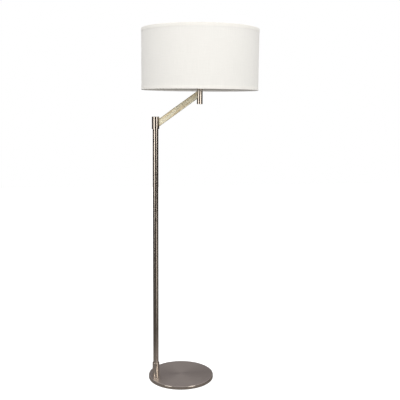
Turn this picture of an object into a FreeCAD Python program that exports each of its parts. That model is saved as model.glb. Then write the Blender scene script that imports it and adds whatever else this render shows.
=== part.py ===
"""Floor lamp with an offset pole, an inclined arm and a drum shade.

The world is +Z up, with the origin on the floor under the centre of the round
base. The arm points along +X and the front of the lamp faces -Y. Millimetres.
"""
import FreeCAD, Part
import math
import os
import re

import Sketcher

DIMENSIONS = [
    # round base
    ("base_radius", 147.5),
    ("base_height", 15.0),
    ("base_rounding", 3.5),
    ("cover_wall", 1.2),
    ("cover_lift", 1.2),
    ("felt_thickness", 2.0),
    ("felt_radius", 144.0),
    ("weight_clearance", 0.1),
    ("channel_width", 10.0),
    ("channel_height", 10.0),
    ("recess_radius", 30.0),
    ("screw_recess_radius", 14.0),
    ("screw_recess_height", 4.0),
    ("grommet_height", 6.0),
    ("grommet_radius", 3.6),
    ("grommet_bore", 2.6),
    ("grommet_tail_radius", 3.4),
    ("grommet_tail", 4.0),
    ("grommet_flange", 1.4),
    ("grommet_lip", 1.5),
    ("grommet_lip_rise", 1.0),
    # screws and passages at the pole's foot
    ("wire_hole", 4.3),
    ("screw_circle", 7.8),
    ("screw_hole", 2.2),
    ("screw_radius", 2.0),
    ("screw_length", 24.0),
    ("screw_head_radius", 3.6),
    ("screw_head_height", 2.0),
    ("screw_depth", 14.0),
    ("plug_height", 46.0),
    ("coupler_reach", 40.0),
    ("coupler_bore", 6.0),
    # tubes shared by the pole and the post
    ("tube_radius", 12.5),
    ("tube_wall", 1.5),
    ("pole_x", -115.7),
    ("post_x", 77.6),
    ("pole_foot", 23.0),
    ("pole_joint", 600.0),
    ("pole_top", 1144.0),
    ("post_bottom", 1244.3),
    ("post_top", 1325.0),
    ("press_gap", 0.05),
    ("slip_gap", 0.1),
    # collars round the pole
    ("collar_radius", 16.0),
    ("collar_top", 75.0),
    ("collar_rounding", 0.8),
    ("grub_height", 40.0),
    ("grub_radius", 2.05),
    ("grub_socket", 1.15),
    ("grub_socket_depth", 2.0),
    ("sleeve_bottom", 1136.0),
    ("sleeve_top", 1189.3),
    ("sleeve_gap", 0.35),
    ("cap_thickness", 3.0),
    # swivel
    ("spigot_radius", 8.95),
    ("spigot_bore", 5.5),
    ("spigot_bottom", 1076.0),
    ("bush_bore", 9.0),
    ("bush_flange", 1.5),
    ("bush_length", 15.0),
    ("web_thickness", 5.0),
    ("lower_bush_rise", 20.0),
    ("lower_bush_length", 12.0),
    ("groove_rise", 17.0),
    ("groove_depth", 1.0),
    ("groove_width", 1.3),
    ("ring_width", 2.25),
    ("ring_gap", 2.5),
    ("stop_height", 8.0),
    ("tooth_half", 1.25),
    ("pin_radius", 1.0),
    ("pin_inner_end", 6.8),
    ("window_half", 3.2),
    ("window_height", 14.0),
    ("sleeve_window_rise", 4.0),
    # arm
    ("arm_slope", 35.8),
    ("arm_height", 26.7),
    ("arm_depth", 16.0),
    ("arm_wall", 2.0),
    ("arm_rounding", 1.5),
    ("arm_root", 1152.6),
    # plugs of the post and the pipe through them
    ("cap_flange", 2.0),
    ("cap_length", 8.0),
    ("cap_rounding", 0.6),
    ("post_window_drop", 9.1),
    ("seat_flange", 3.0),
    ("seat_length", 10.0),
    ("nipple_radius", 5.0),
    ("nipple_bore", 3.4),
    ("nipple_drop", 12.0),
    ("nipple_rise", 8.0),
    # wires
    ("wire_radius", 2.25),
    ("wire_bend", 15.0),
    ("wire_floor", 6.0),
    ("wire_joint", 1060.0),
    ("wire_rise", 3.0),
    ("wire_turn", 20.0),
    ("wire_upturn", 8.0),
    ("wire_end", 16.0),
    # lamp holder
    ("socket_radius", 16.0),
    ("socket_height", 60.0),
    ("shell_foot", 10.0),
    ("shell_wall", 0.8),
    ("liner_foot", 18.0),
    ("liner_wall", 0.6),
    ("block_foot", 17.0),
    ("block_top", 34.0),
    ("bell_foot", 9.0),
    ("bell_rise", 7.0),
    ("bell_wall", 0.8),
    ("shaft_radius", 2.5),
    ("shaft_hole", 3.4),
    ("screw_shell_radius", 14.3),
    ("contact_radius", 3.5),
    ("contact_thickness", 2.0),
    ("saddle_thickness", 1.6),
    ("saddle_width", 14.0),
    ("saddle_reach", 27.0),
    ("saddle_rise", 14.0),
    ("saddle_tip", 7.0),
    ("saddle_tip_half", 1.5),
    ("knob_radius", 4.8),
    ("knob_height", 28.0),
    ("knob_length", 19.0),
    ("knob_stand_off", 3.0),
    ("knob_flute", 0.45),
    ("bulb_radius", 30.0),
    ("bulb_length", 108.0),
    ("bulb_cap_radius", 13.2),
    ("bulb_cap_wall", 1.0),
    ("bulb_cap_top", 25.0),
    ("bulb_tip_radius", 8.0),
    ("bulb_tip_height", 5.0),
    ("glass_wall", 0.9),
    ("glass_neck", 13.0),
    ("glass_neck_height", 6.0),
    # harp and shade
    ("harp_wire", 1.8),
    ("harp_reach", 54.0),
    ("harp_waist", 34.0),
    ("harp_flare", 50.0),
    ("harp_shoulder", 60.0),
    ("harp_crown", 24.3),
    ("harp_bend", 26.0),
    ("ferrule_length", 14.0),
    ("ferrule_radius", 3.6),
    ("ferrule_lap", 6.9),
    ("ferrule_chamfer", 0.5),
    ("platform_radius", 9.0),
    ("platform_height", 2.6),
    ("stud_radius", 3.2),
    ("stud_length", 15.0),
    ("stud_gap", 0.08),
    ("shade_radius", 254.0),
    ("shade_bottom", 1304.0),
    ("shade_top", 1562.5),
    ("trim_height", 14.0),
    ("trim_thickness", 0.5),
    ("fabric_thickness", 0.8),
    ("liner_thickness", 0.6),
    ("frame_wire", 1.6),
    ("spider_drop", 13.0),
    ("hub_radius", 14.0),
    ("hub_thickness", 2.0),
    ("spoke_radius", 1.44),
    ("spoke_bend", 8.0),
    ("spoke_run_up", 22.0),
    ("finial_height", 20.0),
    ("finial_foot", 6.5),
    ("finial_neck", 4.6),
    ("finial_knob", 8.5),
    ("finial_top", 5.5),
    ("finial_rounding", 1.5),
    ("finial_thread", 16.5),
]
NAMES = {name for name, size in DIMENSIONS}
SCREW_ANGLES = (60, 180, 300)
KNOB_FLUTES = 16
SPOKES = 3
BACKWARD = FreeCAD.Rotation(FreeCAD.Vector(1, 0, 0), -90)

ARM_SPAN = "(post_x - pole_x)"
ARM_RISE = "((post_x - pole_x) * tan(arm_slope))"
TUBE_BORE = "(tube_radius - tube_wall)"
INSIDE_TUBE = "(tube_radius - tube_wall - press_gap)"
COVER_BORE = "(base_radius - cover_wall)"
COVER_UNDERSIDE = "(base_height - cover_wall)"
WEB_BOTTOM = "(pole_top + bush_flange + slip_gap)"
WEB_TOP = "(pole_top + bush_flange + slip_gap + web_thickness)"
SEAT = "(post_top + seat_flange)"
HOLDER = "(post_top + seat_flange + saddle_thickness)"
BULB_SEAT = "(post_top + seat_flange + saddle_thickness + block_top + contact_thickness + 2 * slip_gap)"
NIPPLE_HOLE = "(nipple_radius + press_gap)"
TOP_RING_HEIGHT = "(shade_top - trim_thickness - frame_wire)"
BOTTOM_RING_HEIGHT = "(shade_bottom + trim_thickness + frame_wire)"
HUB_TOP = "(shade_top - spider_drop)"
HUB_BOTTOM = "(shade_top - spider_drop - hub_thickness)"
FABRIC_RADIUS = "(shade_radius - trim_thickness)"
LINER_RADIUS = "(shade_radius - trim_thickness - fabric_thickness)"
LINER_BORE = "(shade_radius - trim_thickness - fabric_thickness - liner_thickness)"
RING_RADIUS = "(shade_radius - trim_thickness - fabric_thickness - liner_thickness - slip_gap - frame_wire)"

doc = FreeCAD.newDocument("offset_floor_lamp")
sheet = doc.addObject("Spreadsheet::Sheet", "dims")
for row, (name, size) in enumerate(DIMENSIONS, start=1):
    sheet.set(f"A{row}", name)
    sheet.set(f"B{row}", str(size))
    sheet.setAlias(f"B{row}", name)
doc.recompute()
parts = []


# ---------------------------------------------------------------- helpers

def bound(text):
    """An expression with each dimension's name pointing at the sheet."""
    return re.sub(r"[a-z_]+", lambda word: sheet_name(word.group()), text)


def sheet_name(word):
    return "dims." + word if word in NAMES else word


def size_of(text):
    """The number that an expression stands for."""
    return float(sheet.evalExpression(bound(text)))


def finished(piece, name):
    """Give a sub-part its label and list it for export."""
    piece.Label = name
    parts.append(piece)
    return piece


def place(piece, x="0", y="0", z="0"):
    """Bind a sub-part's place."""
    for axis, text in (("x", x), ("y", y), ("z", z)):
        piece.setExpression(f"Placement.Base.{axis}", bound(text))


def new_body(name, x="0", z="0"):
    """An empty body with its origin on the lamp's middle plane."""
    body = doc.addObject("PartDesign::Body", name)
    place(body, x, "0", z)
    return finished(body, name)


def sketch_on(body, role, height="0"):
    """A sketch on one of the body's own origin planes, raised along its normal."""
    plane = next(item for item in body.Origin.OriginFeatures if item.Role == role)
    sketch = body.newObject("Sketcher::SketchObject", body.Name + "_sketch")
    sketch.AttachmentSupport = (plane, [""])
    sketch.MapMode = "FlatFace"
    sketch.setExpression("AttachmentOffset.Base.z", bound(height))
    return sketch


def fix_point(sketch, edge, point, x, y):
    """Hold one point of an edge at bound distances from the sketch's origin."""
    for kind, text, axis in (("DistanceX", x, -2), ("DistanceY", y, -1)):
        distance = size_of(text)
        if distance == 0:
            sketch.addConstraint(Sketcher.Constraint("PointOnObject", edge, point, axis))
            continue
        index = sketch.addConstraint(Sketcher.Constraint(kind, -1, 1, edge, point, distance))
        sketch.setExpression(f"Constraints[{index}]", bound(text))


def add_outline(sketch, corners):
    """A closed outline of straight lines through bound corners."""
    points = [FreeCAD.Vector(size_of(x), size_of(y), 0) for x, y in corners]
    first = sketch.GeometryCount
    count = len(points)
    for index in range(count):
        line = Part.LineSegment(points[index], points[(index + 1) % count])
        sketch.addGeometry(line)
    for index in range(count):
        following = first + (index + 1) % count
        sketch.addConstraint(Sketcher.Constraint("Coincident", first + index, 2, following, 1))
    for index, (x, y) in enumerate(corners):
        fix_point(sketch, first + index, 1, x, y)


def add_circle(sketch, x, y, radius):
    """A circle with a bound centre and radius."""
    centre = FreeCAD.Vector(size_of(x), size_of(y), 0)
    circle = Part.Circle(centre, FreeCAD.Vector(0, 0, 1), size_of(radius))
    edge = sketch.addGeometry(circle)
    if size_of(x) == 0 and size_of(y) == 0:
        sketch.addConstraint(Sketcher.Constraint("Coincident", edge, 3, -1, 1))
    else:
        fix_point(sketch, edge, 3, x, y)
    index = sketch.addConstraint(Sketcher.Constraint("Radius", edge, size_of(radius)))
    sketch.setExpression(f"Constraints[{index}]", bound(radius))


def rectangle(x_low, x_high, y_low, y_high):
    """The four corners of an upright rectangle."""
    return [(x_low, y_low), (x_high, y_low), (x_high, y_high), (x_low, y_high)]


def feature(body, kind, sketch, length, side="One side", reverse=False):
    """A pad or pocket of a sketch with a bound length."""
    step = body.newObject("PartDesign::" + kind, f"{body.Name}_{kind.lower()}")
    step.Profile = sketch
    step.SideType = side
    step.Reversed = reverse
    step.setExpression("Length", bound(length))
    doc.recompute()
    return step


def cut_through(body, sketch):
    """A pocket through the whole body, both ways from the sketch."""
    before = body.Shape.Volume
    feature(body, "Pocket", sketch, "4000", side="Symmetric")
    if body.Shape.Volume > before - 0.01:
        raise RuntimeError(f"a pocket in {body.Name} cuts nothing")


def turn(body, sketch):
    """Turn a sketch right round its own upright axis."""
    step = body.newObject("PartDesign::Revolution", body.Name + "_turn")
    step.Profile = sketch
    step.ReferenceAxis = (sketch, ["V_Axis"])
    step.Angle = 360
    doc.recompute()


def turned(name, x, z, corners):
    """A body turned about its vertical axis from a (radius, height) outline."""
    body = new_body(name, x, z)
    sketch = sketch_on(body, "XZ_Plane")
    add_outline(sketch, corners)
    turn(body, sketch)
    return body


def tube(name, x, bottom, top, outer, inner):
    """A plain tube or ring between two heights."""
    height = f"(({top}) - ({bottom}))"
    return turned(name, x, bottom, rectangle(inner, outer, "0", height))


def is_ring(edge, radius, height):
    """Whether an edge is a level circle of a given radius and height."""
    if edge.Curve.TypeId != "Part::GeomCircle":
        return False
    box = edge.BoundBox
    level = box.ZLength < 0.01 and abs(box.ZMax - height) < 0.01
    return level and abs(edge.Curve.Radius - radius) < 0.01


def soften(body, kind, size, radius, height):
    """Fillet or chamfer a turned body's circular edge at a height of the world."""
    base = body.Tip
    local_height = size_of(height) - body.Placement.Base.z
    edges = []
    for index, edge in enumerate(base.Shape.Edges, start=1):
        if is_ring(edge, size_of(radius), local_height):
            edges.append(f"Edge{index}")
    if not edges:
        raise RuntimeError(f"{body.Name} has no such edge to soften")
    step = body.newObject("PartDesign::" + kind, f"{body.Name}_{kind.lower()}")
    step.Base = (base, edges)
    target = "Radius" if kind == "Fillet" else "Size"
    step.setExpression(target, bound(size))
    doc.recompute()


def rounded_route(points, radius):
    """A wire of straight runs joined by tangent arcs of one radius."""
    edges = []
    start = points[0]
    for before, corner, after in zip(points, points[1:], points[2:]):
        into = (corner - before).normalize()
        out = (after - corner).normalize()
        half_turn = into.getAngle(out) / 2
        reach = radius * math.tan(half_turn)
        first = corner - into * reach
        last = corner + out * reach
        bisector = (out - into).normalize()
        middle = corner + bisector * (radius / math.cos(half_turn) - radius)
        edges.append(Part.LineSegment(start, first).toShape())
        edges.append(Part.Arc(first, middle, last).toShape())
        start = last
    edges.append(Part.LineSegment(start, points[-1]).toShape())
    return Part.Wire(edges)


def bent_rod(route, radius):
    """The solid of a round rod along a wire."""
    start = route.Edges[0].valueAt(route.Edges[0].FirstParameter)
    heading = route.Edges[0].tangentAt(route.Edges[0].FirstParameter)
    section = Part.Wire([Part.Circle(start, heading, radius).toShape()])
    return route.makePipeShell([section], True, False)


def fixed_shape(name, shape):
    """A sub-part whose shape is worked out here from the sheet's sizes."""
    piece = doc.addObject("Part::Feature", name)
    piece.Shape = shape
    piece.Placement = FreeCAD.Placement()
    return finished(piece, name)


def world_points(places):
    """Points of the world from bound coordinates."""
    return [FreeCAD.Vector(size_of(x), size_of(y), size_of(z)) for x, y, z in places]


# ---------------------------------------------------------------- round base

def felt_pad():
    """The disc of felt that the lamp stands on."""
    turned("felt_pad", "0", "0", rectangle("0", "felt_radius", "0", "felt_thickness"))


def base_weight():
    """A cast iron disc with a cable channel and recesses in its underside."""
    radius = f"({COVER_BORE} - weight_clearance)"
    top = f"({COVER_UNDERSIDE} - weight_clearance - felt_thickness)"
    body = turned("base_weight", "0", "felt_thickness", rectangle("0", radius, "0", top))
    depth = "(channel_height - felt_thickness)"
    half = "(channel_width / 2)"
    to_pole = sketch_on(body, "XY_Plane")
    add_outline(to_pole, rectangle("pole_x", "0", "-" + half, half))
    feature(body, "Pocket", to_pole, depth, reverse=True)
    to_rim = sketch_on(body, "XY_Plane")
    add_outline(to_rim, rectangle("-" + half, half, "0", "base_radius"))
    feature(body, "Pocket", to_rim, depth, reverse=True)
    centre = sketch_on(body, "XY_Plane")
    add_circle(centre, "0", "0", "recess_radius")
    feature(body, "Pocket", centre, depth, reverse=True)
    screws = sketch_on(body, "XY_Plane")
    add_circle(screws, "pole_x", "0", "screw_recess_radius")
    feature(body, "Pocket", screws, "(screw_recess_height - felt_thickness)", reverse=True)
    drill_foot_holes(body)


def screw_place(angle):
    """Where a base screw stands, measured from the pole's axis."""
    return f"(screw_circle * cos({angle} deg))", f"(screw_circle * sin({angle} deg))"


def drill_foot_holes(body):
    """The wire's hole under the pole and the three screws' holes round it."""
    holes = sketch_on(body, "XY_Plane")
    add_circle(holes, "pole_x", "0", "wire_hole")
    for angle in SCREW_ANGLES:
        x, y = screw_place(angle)
        add_circle(holes, f"(pole_x + {x})", y, "screw_hole")
    cut_through(body, holes)


def base_cover():
    """A spun steel shell over the weight, open below."""
    top = "(base_height - cover_lift)"
    inner_top = f"({COVER_UNDERSIDE} - cover_lift)"
    corners = [
        ("0", inner_top),
        (COVER_BORE, inner_top),
        (COVER_BORE, "0"),
        ("base_radius", "0"),
        ("base_radius", top),
        ("0", top),
    ]
    body = turned("base_cover", "0", "cover_lift", corners)
    soften(body, "Fillet", "base_rounding", "base_radius", "base_height")
    drill_foot_holes(body)
    inlet = sketch_on(body, "XZ_Plane")
    add_circle(inlet, "0", "(grommet_height - cover_lift)", "grommet_radius")
    feature(body, "Pocket", inlet, "(2 * base_radius)")


def cord_grommet():
    """The rubber bush that lines the cable inlet at the back of the base."""
    body = new_body("cord_grommet", "0", "grommet_height")
    tail = f"({COVER_BORE} - grommet_tail)"
    flange_back = f"({COVER_BORE} - grommet_flange)"
    flange_front = f"({COVER_BORE} - 2 * slip_gap)"
    flange_radius = "(grommet_radius + 3 * slip_gap)"
    waist = "(grommet_radius - press_gap)"
    lip_radius = "(grommet_radius + grommet_lip_rise)"
    lip_back = "(base_radius + slip_gap)"
    lip_front = "(base_radius + grommet_lip)"
    sketch = sketch_on(body, "XY_Plane")
    add_outline(sketch, [
        ("grommet_bore", tail),
        ("grommet_bore", lip_front),
        (lip_radius, lip_front),
        (lip_radius, lip_back),
        (waist, lip_back),
        (waist, flange_front),
        (flange_radius, flange_front),
        (flange_radius, flange_back),
        ("grommet_tail_radius", flange_back),
        ("grommet_tail_radius", tail),
    ])
    turn(body, sketch)


def base_screws():
    """Three countersunk screws that hold the pole's foot to the base."""
    group = []
    for number, angle in enumerate(SCREW_ANGLES, start=1):
        x, y = screw_place(angle)
        group.append(countersunk_screw(f"base_screw_{number}", f"pole_x + {x}", y))
    compound = doc.addObject("Part::Compound", "base_screws")
    compound.Links = group
    finished(compound, "base_screws")


def countersunk_screw(name, x, y):
    """A screw with a conical head, its head down."""
    head = doc.addObject("Part::Cone", name + "_head")
    head.setExpression("Radius1", bound("screw_head_radius"))
    head.setExpression("Radius2", bound("screw_radius"))
    head.setExpression("Height", bound("screw_head_height"))
    shank = doc.addObject("Part::Cylinder", name + "_shank")
    shank.setExpression("Radius", bound("screw_radius"))
    shank.setExpression("Height", bound("screw_length"))
    for piece in (head, shank):
        place(piece, x, y, "screw_recess_height - screw_head_height + slip_gap")
    screw = doc.addObject("Part::Fuse", name)
    screw.Base = head
    screw.Tool = shank
    return screw


# ---------------------------------------------------------------- pole

def foot_plug():
    """The steel plug that the pole stands on, drilled for wire and screws."""
    body = turned("foot_plug", "pole_x", "base_height", [
        ("wire_hole", "0"),
        ("(tube_radius - slip_gap)", "0"),
        ("(tube_radius - slip_gap)", "(pole_foot - base_height)"),
        (INSIDE_TUBE, "(pole_foot - base_height)"),
        (INSIDE_TUBE, "plug_height"),
        ("wire_hole", "plug_height"),
    ])
    holes = sketch_on(body, "XY_Plane")
    for angle in SCREW_ANGLES:
        x, y = screw_place(angle)
        add_circle(holes, x, y, "(screw_radius + press_gap)")
    feature(body, "Pocket", holes, "screw_depth", reverse=True)


def foot_collar():
    """The sleeve round the pole's foot."""
    bore = "(tube_radius + press_gap)"
    body = tube("foot_collar", "pole_x", "base_height", "collar_top", "collar_radius", bore)
    soften(body, "Fillet", "collar_rounding", "collar_radius", "collar_top")
    grub = sketch_on(body, "XZ_Plane")
    add_circle(grub, "0", "grub_height", "(grub_radius + press_gap)")
    feature(body, "Pocket", grub, "(2 * collar_radius)")


def collar_grub_screw():
    """The grub screw at the back of the foot collar, a little below its face."""
    screw = doc.addObject("Part::Cylinder", "collar_grub")
    screw.setExpression("Radius", bound("grub_radius"))
    screw.setExpression("Height", bound("(collar_radius - tube_radius - 7 * slip_gap)"))
    screw.Placement.Rotation = BACKWARD
    place(screw, "pole_x", "tube_radius + slip_gap", "base_height + grub_height")
    socket = doc.addObject("Part::Prism", "collar_grub_socket")
    socket.Polygon = 6
    socket.setExpression("Circumradius", bound("grub_socket"))
    socket.setExpression("Height", bound("(2 * grub_socket_depth)"))
    socket.Placement.Rotation = BACKWARD
    place(socket, "pole_x", "collar_radius - grub_socket_depth", "base_height + grub_height")
    cut = doc.addObject("Part::Cut", "collar_grub_screw")
    cut.Base = screw
    cut.Tool = socket
    finished(cut, "collar_grub_screw")


def pole_tubes():
    """The pole's two lengths, the upper one drilled at its back for the stop pin."""
    tube("lower_pole", "pole_x", "pole_foot", "pole_joint", "tube_radius", TUBE_BORE)
    upper = tube("upper_pole", "pole_x", "pole_joint", "pole_top", "tube_radius", TUBE_BORE)
    pin_hole = sketch_on(upper, "XZ_Plane")
    height = "(spigot_bottom + stop_height / 2 - pole_joint)"
    add_circle(pin_hole, "0", height, "(pin_radius + press_gap)")
    feature(upper, "Pocket", pin_hole, "(2 * tube_radius)")


def pole_coupler():
    """The plug inside the pole that joins its two lengths."""
    bottom = "(pole_joint - coupler_reach)"
    top = "(pole_joint + coupler_reach)"
    tube("pole_coupler", "pole_x", bottom, top, INSIDE_TUBE, "coupler_bore")


# ---------------------------------------------------------------- swivel

def bushes():
    """Two nylon bushes pressed into the top of the pole."""
    turned("upper_bush", "pole_x", "pole_top", [
        ("bush_bore", "-bush_length"),
        (INSIDE_TUBE, "-bush_length"),
        (INSIDE_TUBE, "0"),
        ("tube_radius", "0"),
        ("tube_radius", "bush_flange"),
        ("bush_bore", "bush_flange"),
    ])
    bottom = "(spigot_bottom + lower_bush_rise)"
    tube("lower_bush", "pole_x", bottom, f"{bottom} + lower_bush_length", INSIDE_TUBE, "bush_bore")


def stop_pin():
    """The pin through the pole's back wall that limits the swivel."""
    pin = doc.addObject("Part::Cylinder", "stop_pin")
    pin.setExpression("Radius", bound("pin_radius"))
    pin.setExpression("Height", bound("(tube_radius - pin_inner_end)"))
    pin.Placement.Rotation = BACKWARD
    place(pin, "pole_x", "pin_inner_end", "spigot_bottom + stop_height / 2")
    finished(pin, "stop_pin")


def swivel_spigot():
    """The hollow spindle under the sleeve, with a tooth that meets the pin.

    All of its foot is cut away but the tooth, which stands opposite the pin at
    rest, so that pin and tooth meet just past 160 degrees either way.
    """
    length = f"({WEB_TOP} - spigot_bottom)"
    body = turned("swivel_spigot", "pole_x", "spigot_bottom", [
        ("spigot_bore", "0"),
        ("spigot_radius", "0"),
        ("spigot_radius", "groove_rise"),
        ("(spigot_radius - groove_depth)", "groove_rise"),
        ("(spigot_radius - groove_depth)", "(groove_rise + groove_width)"),
        ("spigot_radius", "(groove_rise + groove_width)"),
        ("spigot_radius", length),
        ("spigot_bore", length),
    ])
    beyond = "(2 * spigot_radius)"
    cut_away = sketch_on(body, "XY_Plane")
    add_outline(cut_away, [
        ("-" + beyond, "-" + beyond),
        ("-tooth_half", "-" + beyond),
        ("-tooth_half", "0"),
        ("tooth_half", "0"),
        ("tooth_half", "-" + beyond),
        (beyond, "-" + beyond),
        (beyond, beyond),
        ("-" + beyond, beyond),
    ])
    feature(body, "Pocket", cut_away, "stop_height", reverse=True)


def retaining_ring():
    """The open ring in the spigot's groove under the lower bush."""
    bottom = "(spigot_bottom + groove_rise + press_gap)"
    top = "(spigot_bottom + groove_rise + groove_width - press_gap)"
    inner = "(spigot_radius - groove_depth + press_gap)"
    outer = "(spigot_radius - groove_depth + press_gap + ring_width)"
    body = tube("retaining_ring", "pole_x", bottom, top, outer, inner)
    gap = sketch_on(body, "XY_Plane")
    add_outline(gap, rectangle("0", "(2 * tube_radius)", "-ring_gap", "ring_gap"))
    cut_through(body, gap)


def swivel_sleeve():
    """The collar that turns on the pole and carries the arm."""
    bore = "(tube_radius + sleeve_gap)"
    web_bottom = f"({WEB_BOTTOM} - sleeve_bottom)"
    web_top = f"({WEB_TOP} - sleeve_bottom)"
    top = "(sleeve_top - cap_thickness - sleeve_bottom)"
    spigot_hole = "(spigot_radius + press_gap)"
    body = turned("swivel_sleeve", "pole_x", "sleeve_bottom", [
        (bore, "0"),
        ("collar_radius", "0"),
        ("collar_radius", top),
        (bore, top),
        (bore, web_top),
        (spigot_hole, web_top),
        (spigot_hole, web_bottom),
        (bore, web_bottom),
    ])
    low = "(arm_root + sleeve_window_rise - sleeve_bottom)"
    window = sketch_on(body, "YZ_Plane")
    add_outline(window, rectangle("-window_half", "window_half", low, f"({low} + window_height)"))
    feature(body, "Pocket", window, "(2 * collar_radius)", reverse=True)


def sleeve_cap():
    """The disc that closes the top of the swivel sleeve."""
    spigot = "(tube_radius + sleeve_gap - press_gap)"
    body = turned("sleeve_cap", "pole_x", "sleeve_top - cap_thickness", [
        ("0", "-cap_thickness"),
        (spigot, "-cap_thickness"),
        (spigot, "0"),
        ("collar_radius", "0"),
        ("collar_radius", "cap_thickness"),
        ("0", "cap_thickness"),
    ])
    soften(body, "Fillet", "collar_rounding", "collar_radius", "sleeve_top")


# ---------------------------------------------------------------- arm

def sloped_band(half_height):
    """Corners of a band along the arm's centre line from pole to post."""
    lift = f"({half_height} / cos(arm_slope))"
    return [
        ("0", f"-{lift}"),
        (ARM_SPAN, f"({ARM_RISE} - {lift})"),
        (ARM_SPAN, f"({ARM_RISE} + {lift})"),
        ("0", lift),
    ]


def cope_ends(body, at_sleeve, at_post):
    """Hollow both ends of the arm round the sleeve and the post."""
    ends = sketch_on(body, "XY_Plane")
    add_circle(ends, "0", "0", at_sleeve)
    add_circle(ends, ARM_SPAN, "0", at_post)
    cut_through(body, ends)


def arm_bar():
    """The inclined rectangular tube, also the wire's way, welded at both ends."""
    body = new_body("arm_bar", "pole_x", "arm_root")
    outer = sketch_on(body, "XZ_Plane")
    add_outline(outer, sloped_band("(arm_height / 2)"))
    feature(body, "Pad", outer, "arm_depth", side="Symmetric")
    round_long_edges(body)
    inner = sketch_on(body, "XZ_Plane")
    add_outline(inner, sloped_band("(arm_height / 2 - arm_wall)"))
    feature(body, "Pocket", inner, "(arm_depth - 2 * arm_wall)", side="Symmetric")
    cope_ends(body, "(collar_radius + press_gap)", "(tube_radius + press_gap)")


def round_long_edges(body):
    """Fillet the four edges that run up the arm's slope."""
    base = body.Tip
    edges = []
    for index, edge in enumerate(base.Shape.Edges, start=1):
        box = edge.BoundBox
        if box.XLength > 1 and box.ZLength > 1:
            edges.append(f"Edge{index}")
    step = body.newObject("PartDesign::Fillet", "arm_bar_fillet")
    step.Base = (base, edges)
    step.setExpression("Radius", bound("arm_rounding"))
    doc.recompute()


# ---------------------------------------------------------------- post

def post_tube():
    """The short tube that hangs from the arm and carries the lamp holder."""
    bottom = "(post_bottom + cap_flange)"
    body = tube("post_tube", "post_x", bottom, "post_top", "tube_radius", TUBE_BORE)
    middle = f"(arm_root + {ARM_RISE} + wire_rise - post_window_drop - {bottom})"
    low = f"({middle} - window_height / 2)"
    high = f"({middle} + window_height / 2)"
    window = sketch_on(body, "YZ_Plane")
    add_outline(window, rectangle("-window_half", "window_half", low, high))
    feature(body, "Pocket", window, "(2 * tube_radius)")


def post_caps():
    """The plug that closes the post below and the seat that caps it above."""
    bottom = turned("post_bottom_cap", "post_x", "post_bottom", [
        ("0", "0"),
        ("tube_radius", "0"),
        ("tube_radius", "cap_flange"),
        (INSIDE_TUBE, "cap_flange"),
        (INSIDE_TUBE, "cap_length"),
        ("0", "cap_length"),
    ])
    soften(bottom, "Fillet", "cap_rounding", "tube_radius", "post_bottom")
    turned("post_seat", "post_x", "post_top", [
        (NIPPLE_HOLE, "-seat_length"),
        (INSIDE_TUBE, "-seat_length"),
        (INSIDE_TUBE, "0"),
        ("tube_radius", "0"),
        ("tube_radius", "seat_flange"),
        (NIPPLE_HOLE, "seat_flange"),
    ])


def threaded_nipple():
    """The hollow threaded pipe that clamps saddle and socket to the post."""
    bottom = "(post_top - nipple_drop)"
    tube("threaded_nipple", "post_x", bottom, f"{HOLDER} + nipple_rise", "nipple_radius", "nipple_bore")


# ---------------------------------------------------------------- lamp holder

def harp_saddle():
    """The strip under the socket whose upturned ends carry the harp."""
    body = new_body("harp_saddle", "post_x", SEAT)
    inner = "(saddle_reach - saddle_thickness)"
    strip = sketch_on(body, "XZ_Plane")
    add_outline(strip, [
        ("-saddle_reach", "0"),
        ("saddle_reach", "0"),
        ("saddle_reach", "saddle_rise"),
        (inner, "saddle_rise"),
        (inner, "saddle_thickness"),
        ("-" + inner, "saddle_thickness"),
        ("-" + inner, "saddle_rise"),
        ("-saddle_reach", "saddle_rise"),
    ])
    feature(body, "Pad", strip, "saddle_width", side="Symmetric")
    hole = sketch_on(body, "XY_Plane")
    add_circle(hole, "0", "0", NIPPLE_HOLE)
    cut_through(body, hole)
    waist = sketch_on(body, "YZ_Plane")
    tip_low = "(saddle_rise - saddle_tip)"
    tip_high = "(saddle_rise + saddle_thickness)"
    add_outline(waist, rectangle("saddle_tip_half", "saddle_width", tip_low, tip_high))
    add_outline(waist, rectangle("-saddle_width", "-saddle_tip_half", tip_low, tip_high))
    cut_through(body, waist)


def harp_leg_x(side):
    """How far one of the harp's feet stands from the post's axis."""
    return f"({side} * (saddle_reach - saddle_thickness / 2))"


def harp():
    """The sprung wire loop that carries the shade over the bulb."""
    foot = f"({SEAT} + saddle_rise + slip_gap)"
    waist = f"({foot} + harp_waist)"
    shoulder = f"({HUB_BOTTOM} - harp_shoulder)"
    crown = f"({HUB_BOTTOM} - harp_wire - platform_height)"
    left = harp_side(-1, foot, waist, shoulder, crown)
    right = harp_side(1, foot, waist, shoulder, crown)
    route = rounded_route(world_points(left + right[::-1]), size_of("harp_bend"))
    fixed_shape("harp", bent_rod(route, size_of("harp_wire")))


def harp_side(side, foot, waist, shoulder, crown):
    """The corners of one leg of the harp, from its foot to the crown."""
    leg = f"(post_x + {harp_leg_x(side)})"
    widest = f"(post_x + {side} * harp_reach)"
    return [
        (leg, "0", foot),
        (leg, "0", waist),
        (widest, "0", f"({waist} + harp_flare)"),
        (widest, "0", shoulder),
        (f"(post_x + {side} * harp_crown)", "0", crown),
    ]


def harp_stud():
    """The threaded stud and its platform on the harp's crown."""
    underside = "(press_gap - platform_height)"
    turned("harp_stud", "post_x", HUB_BOTTOM, [
        ("0", underside),
        ("platform_radius", underside),
        ("platform_radius", "-slip_gap"),
        ("stud_radius", "-slip_gap"),
        ("stud_radius", "stud_length"),
        ("0", "stud_length"),
    ])


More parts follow.
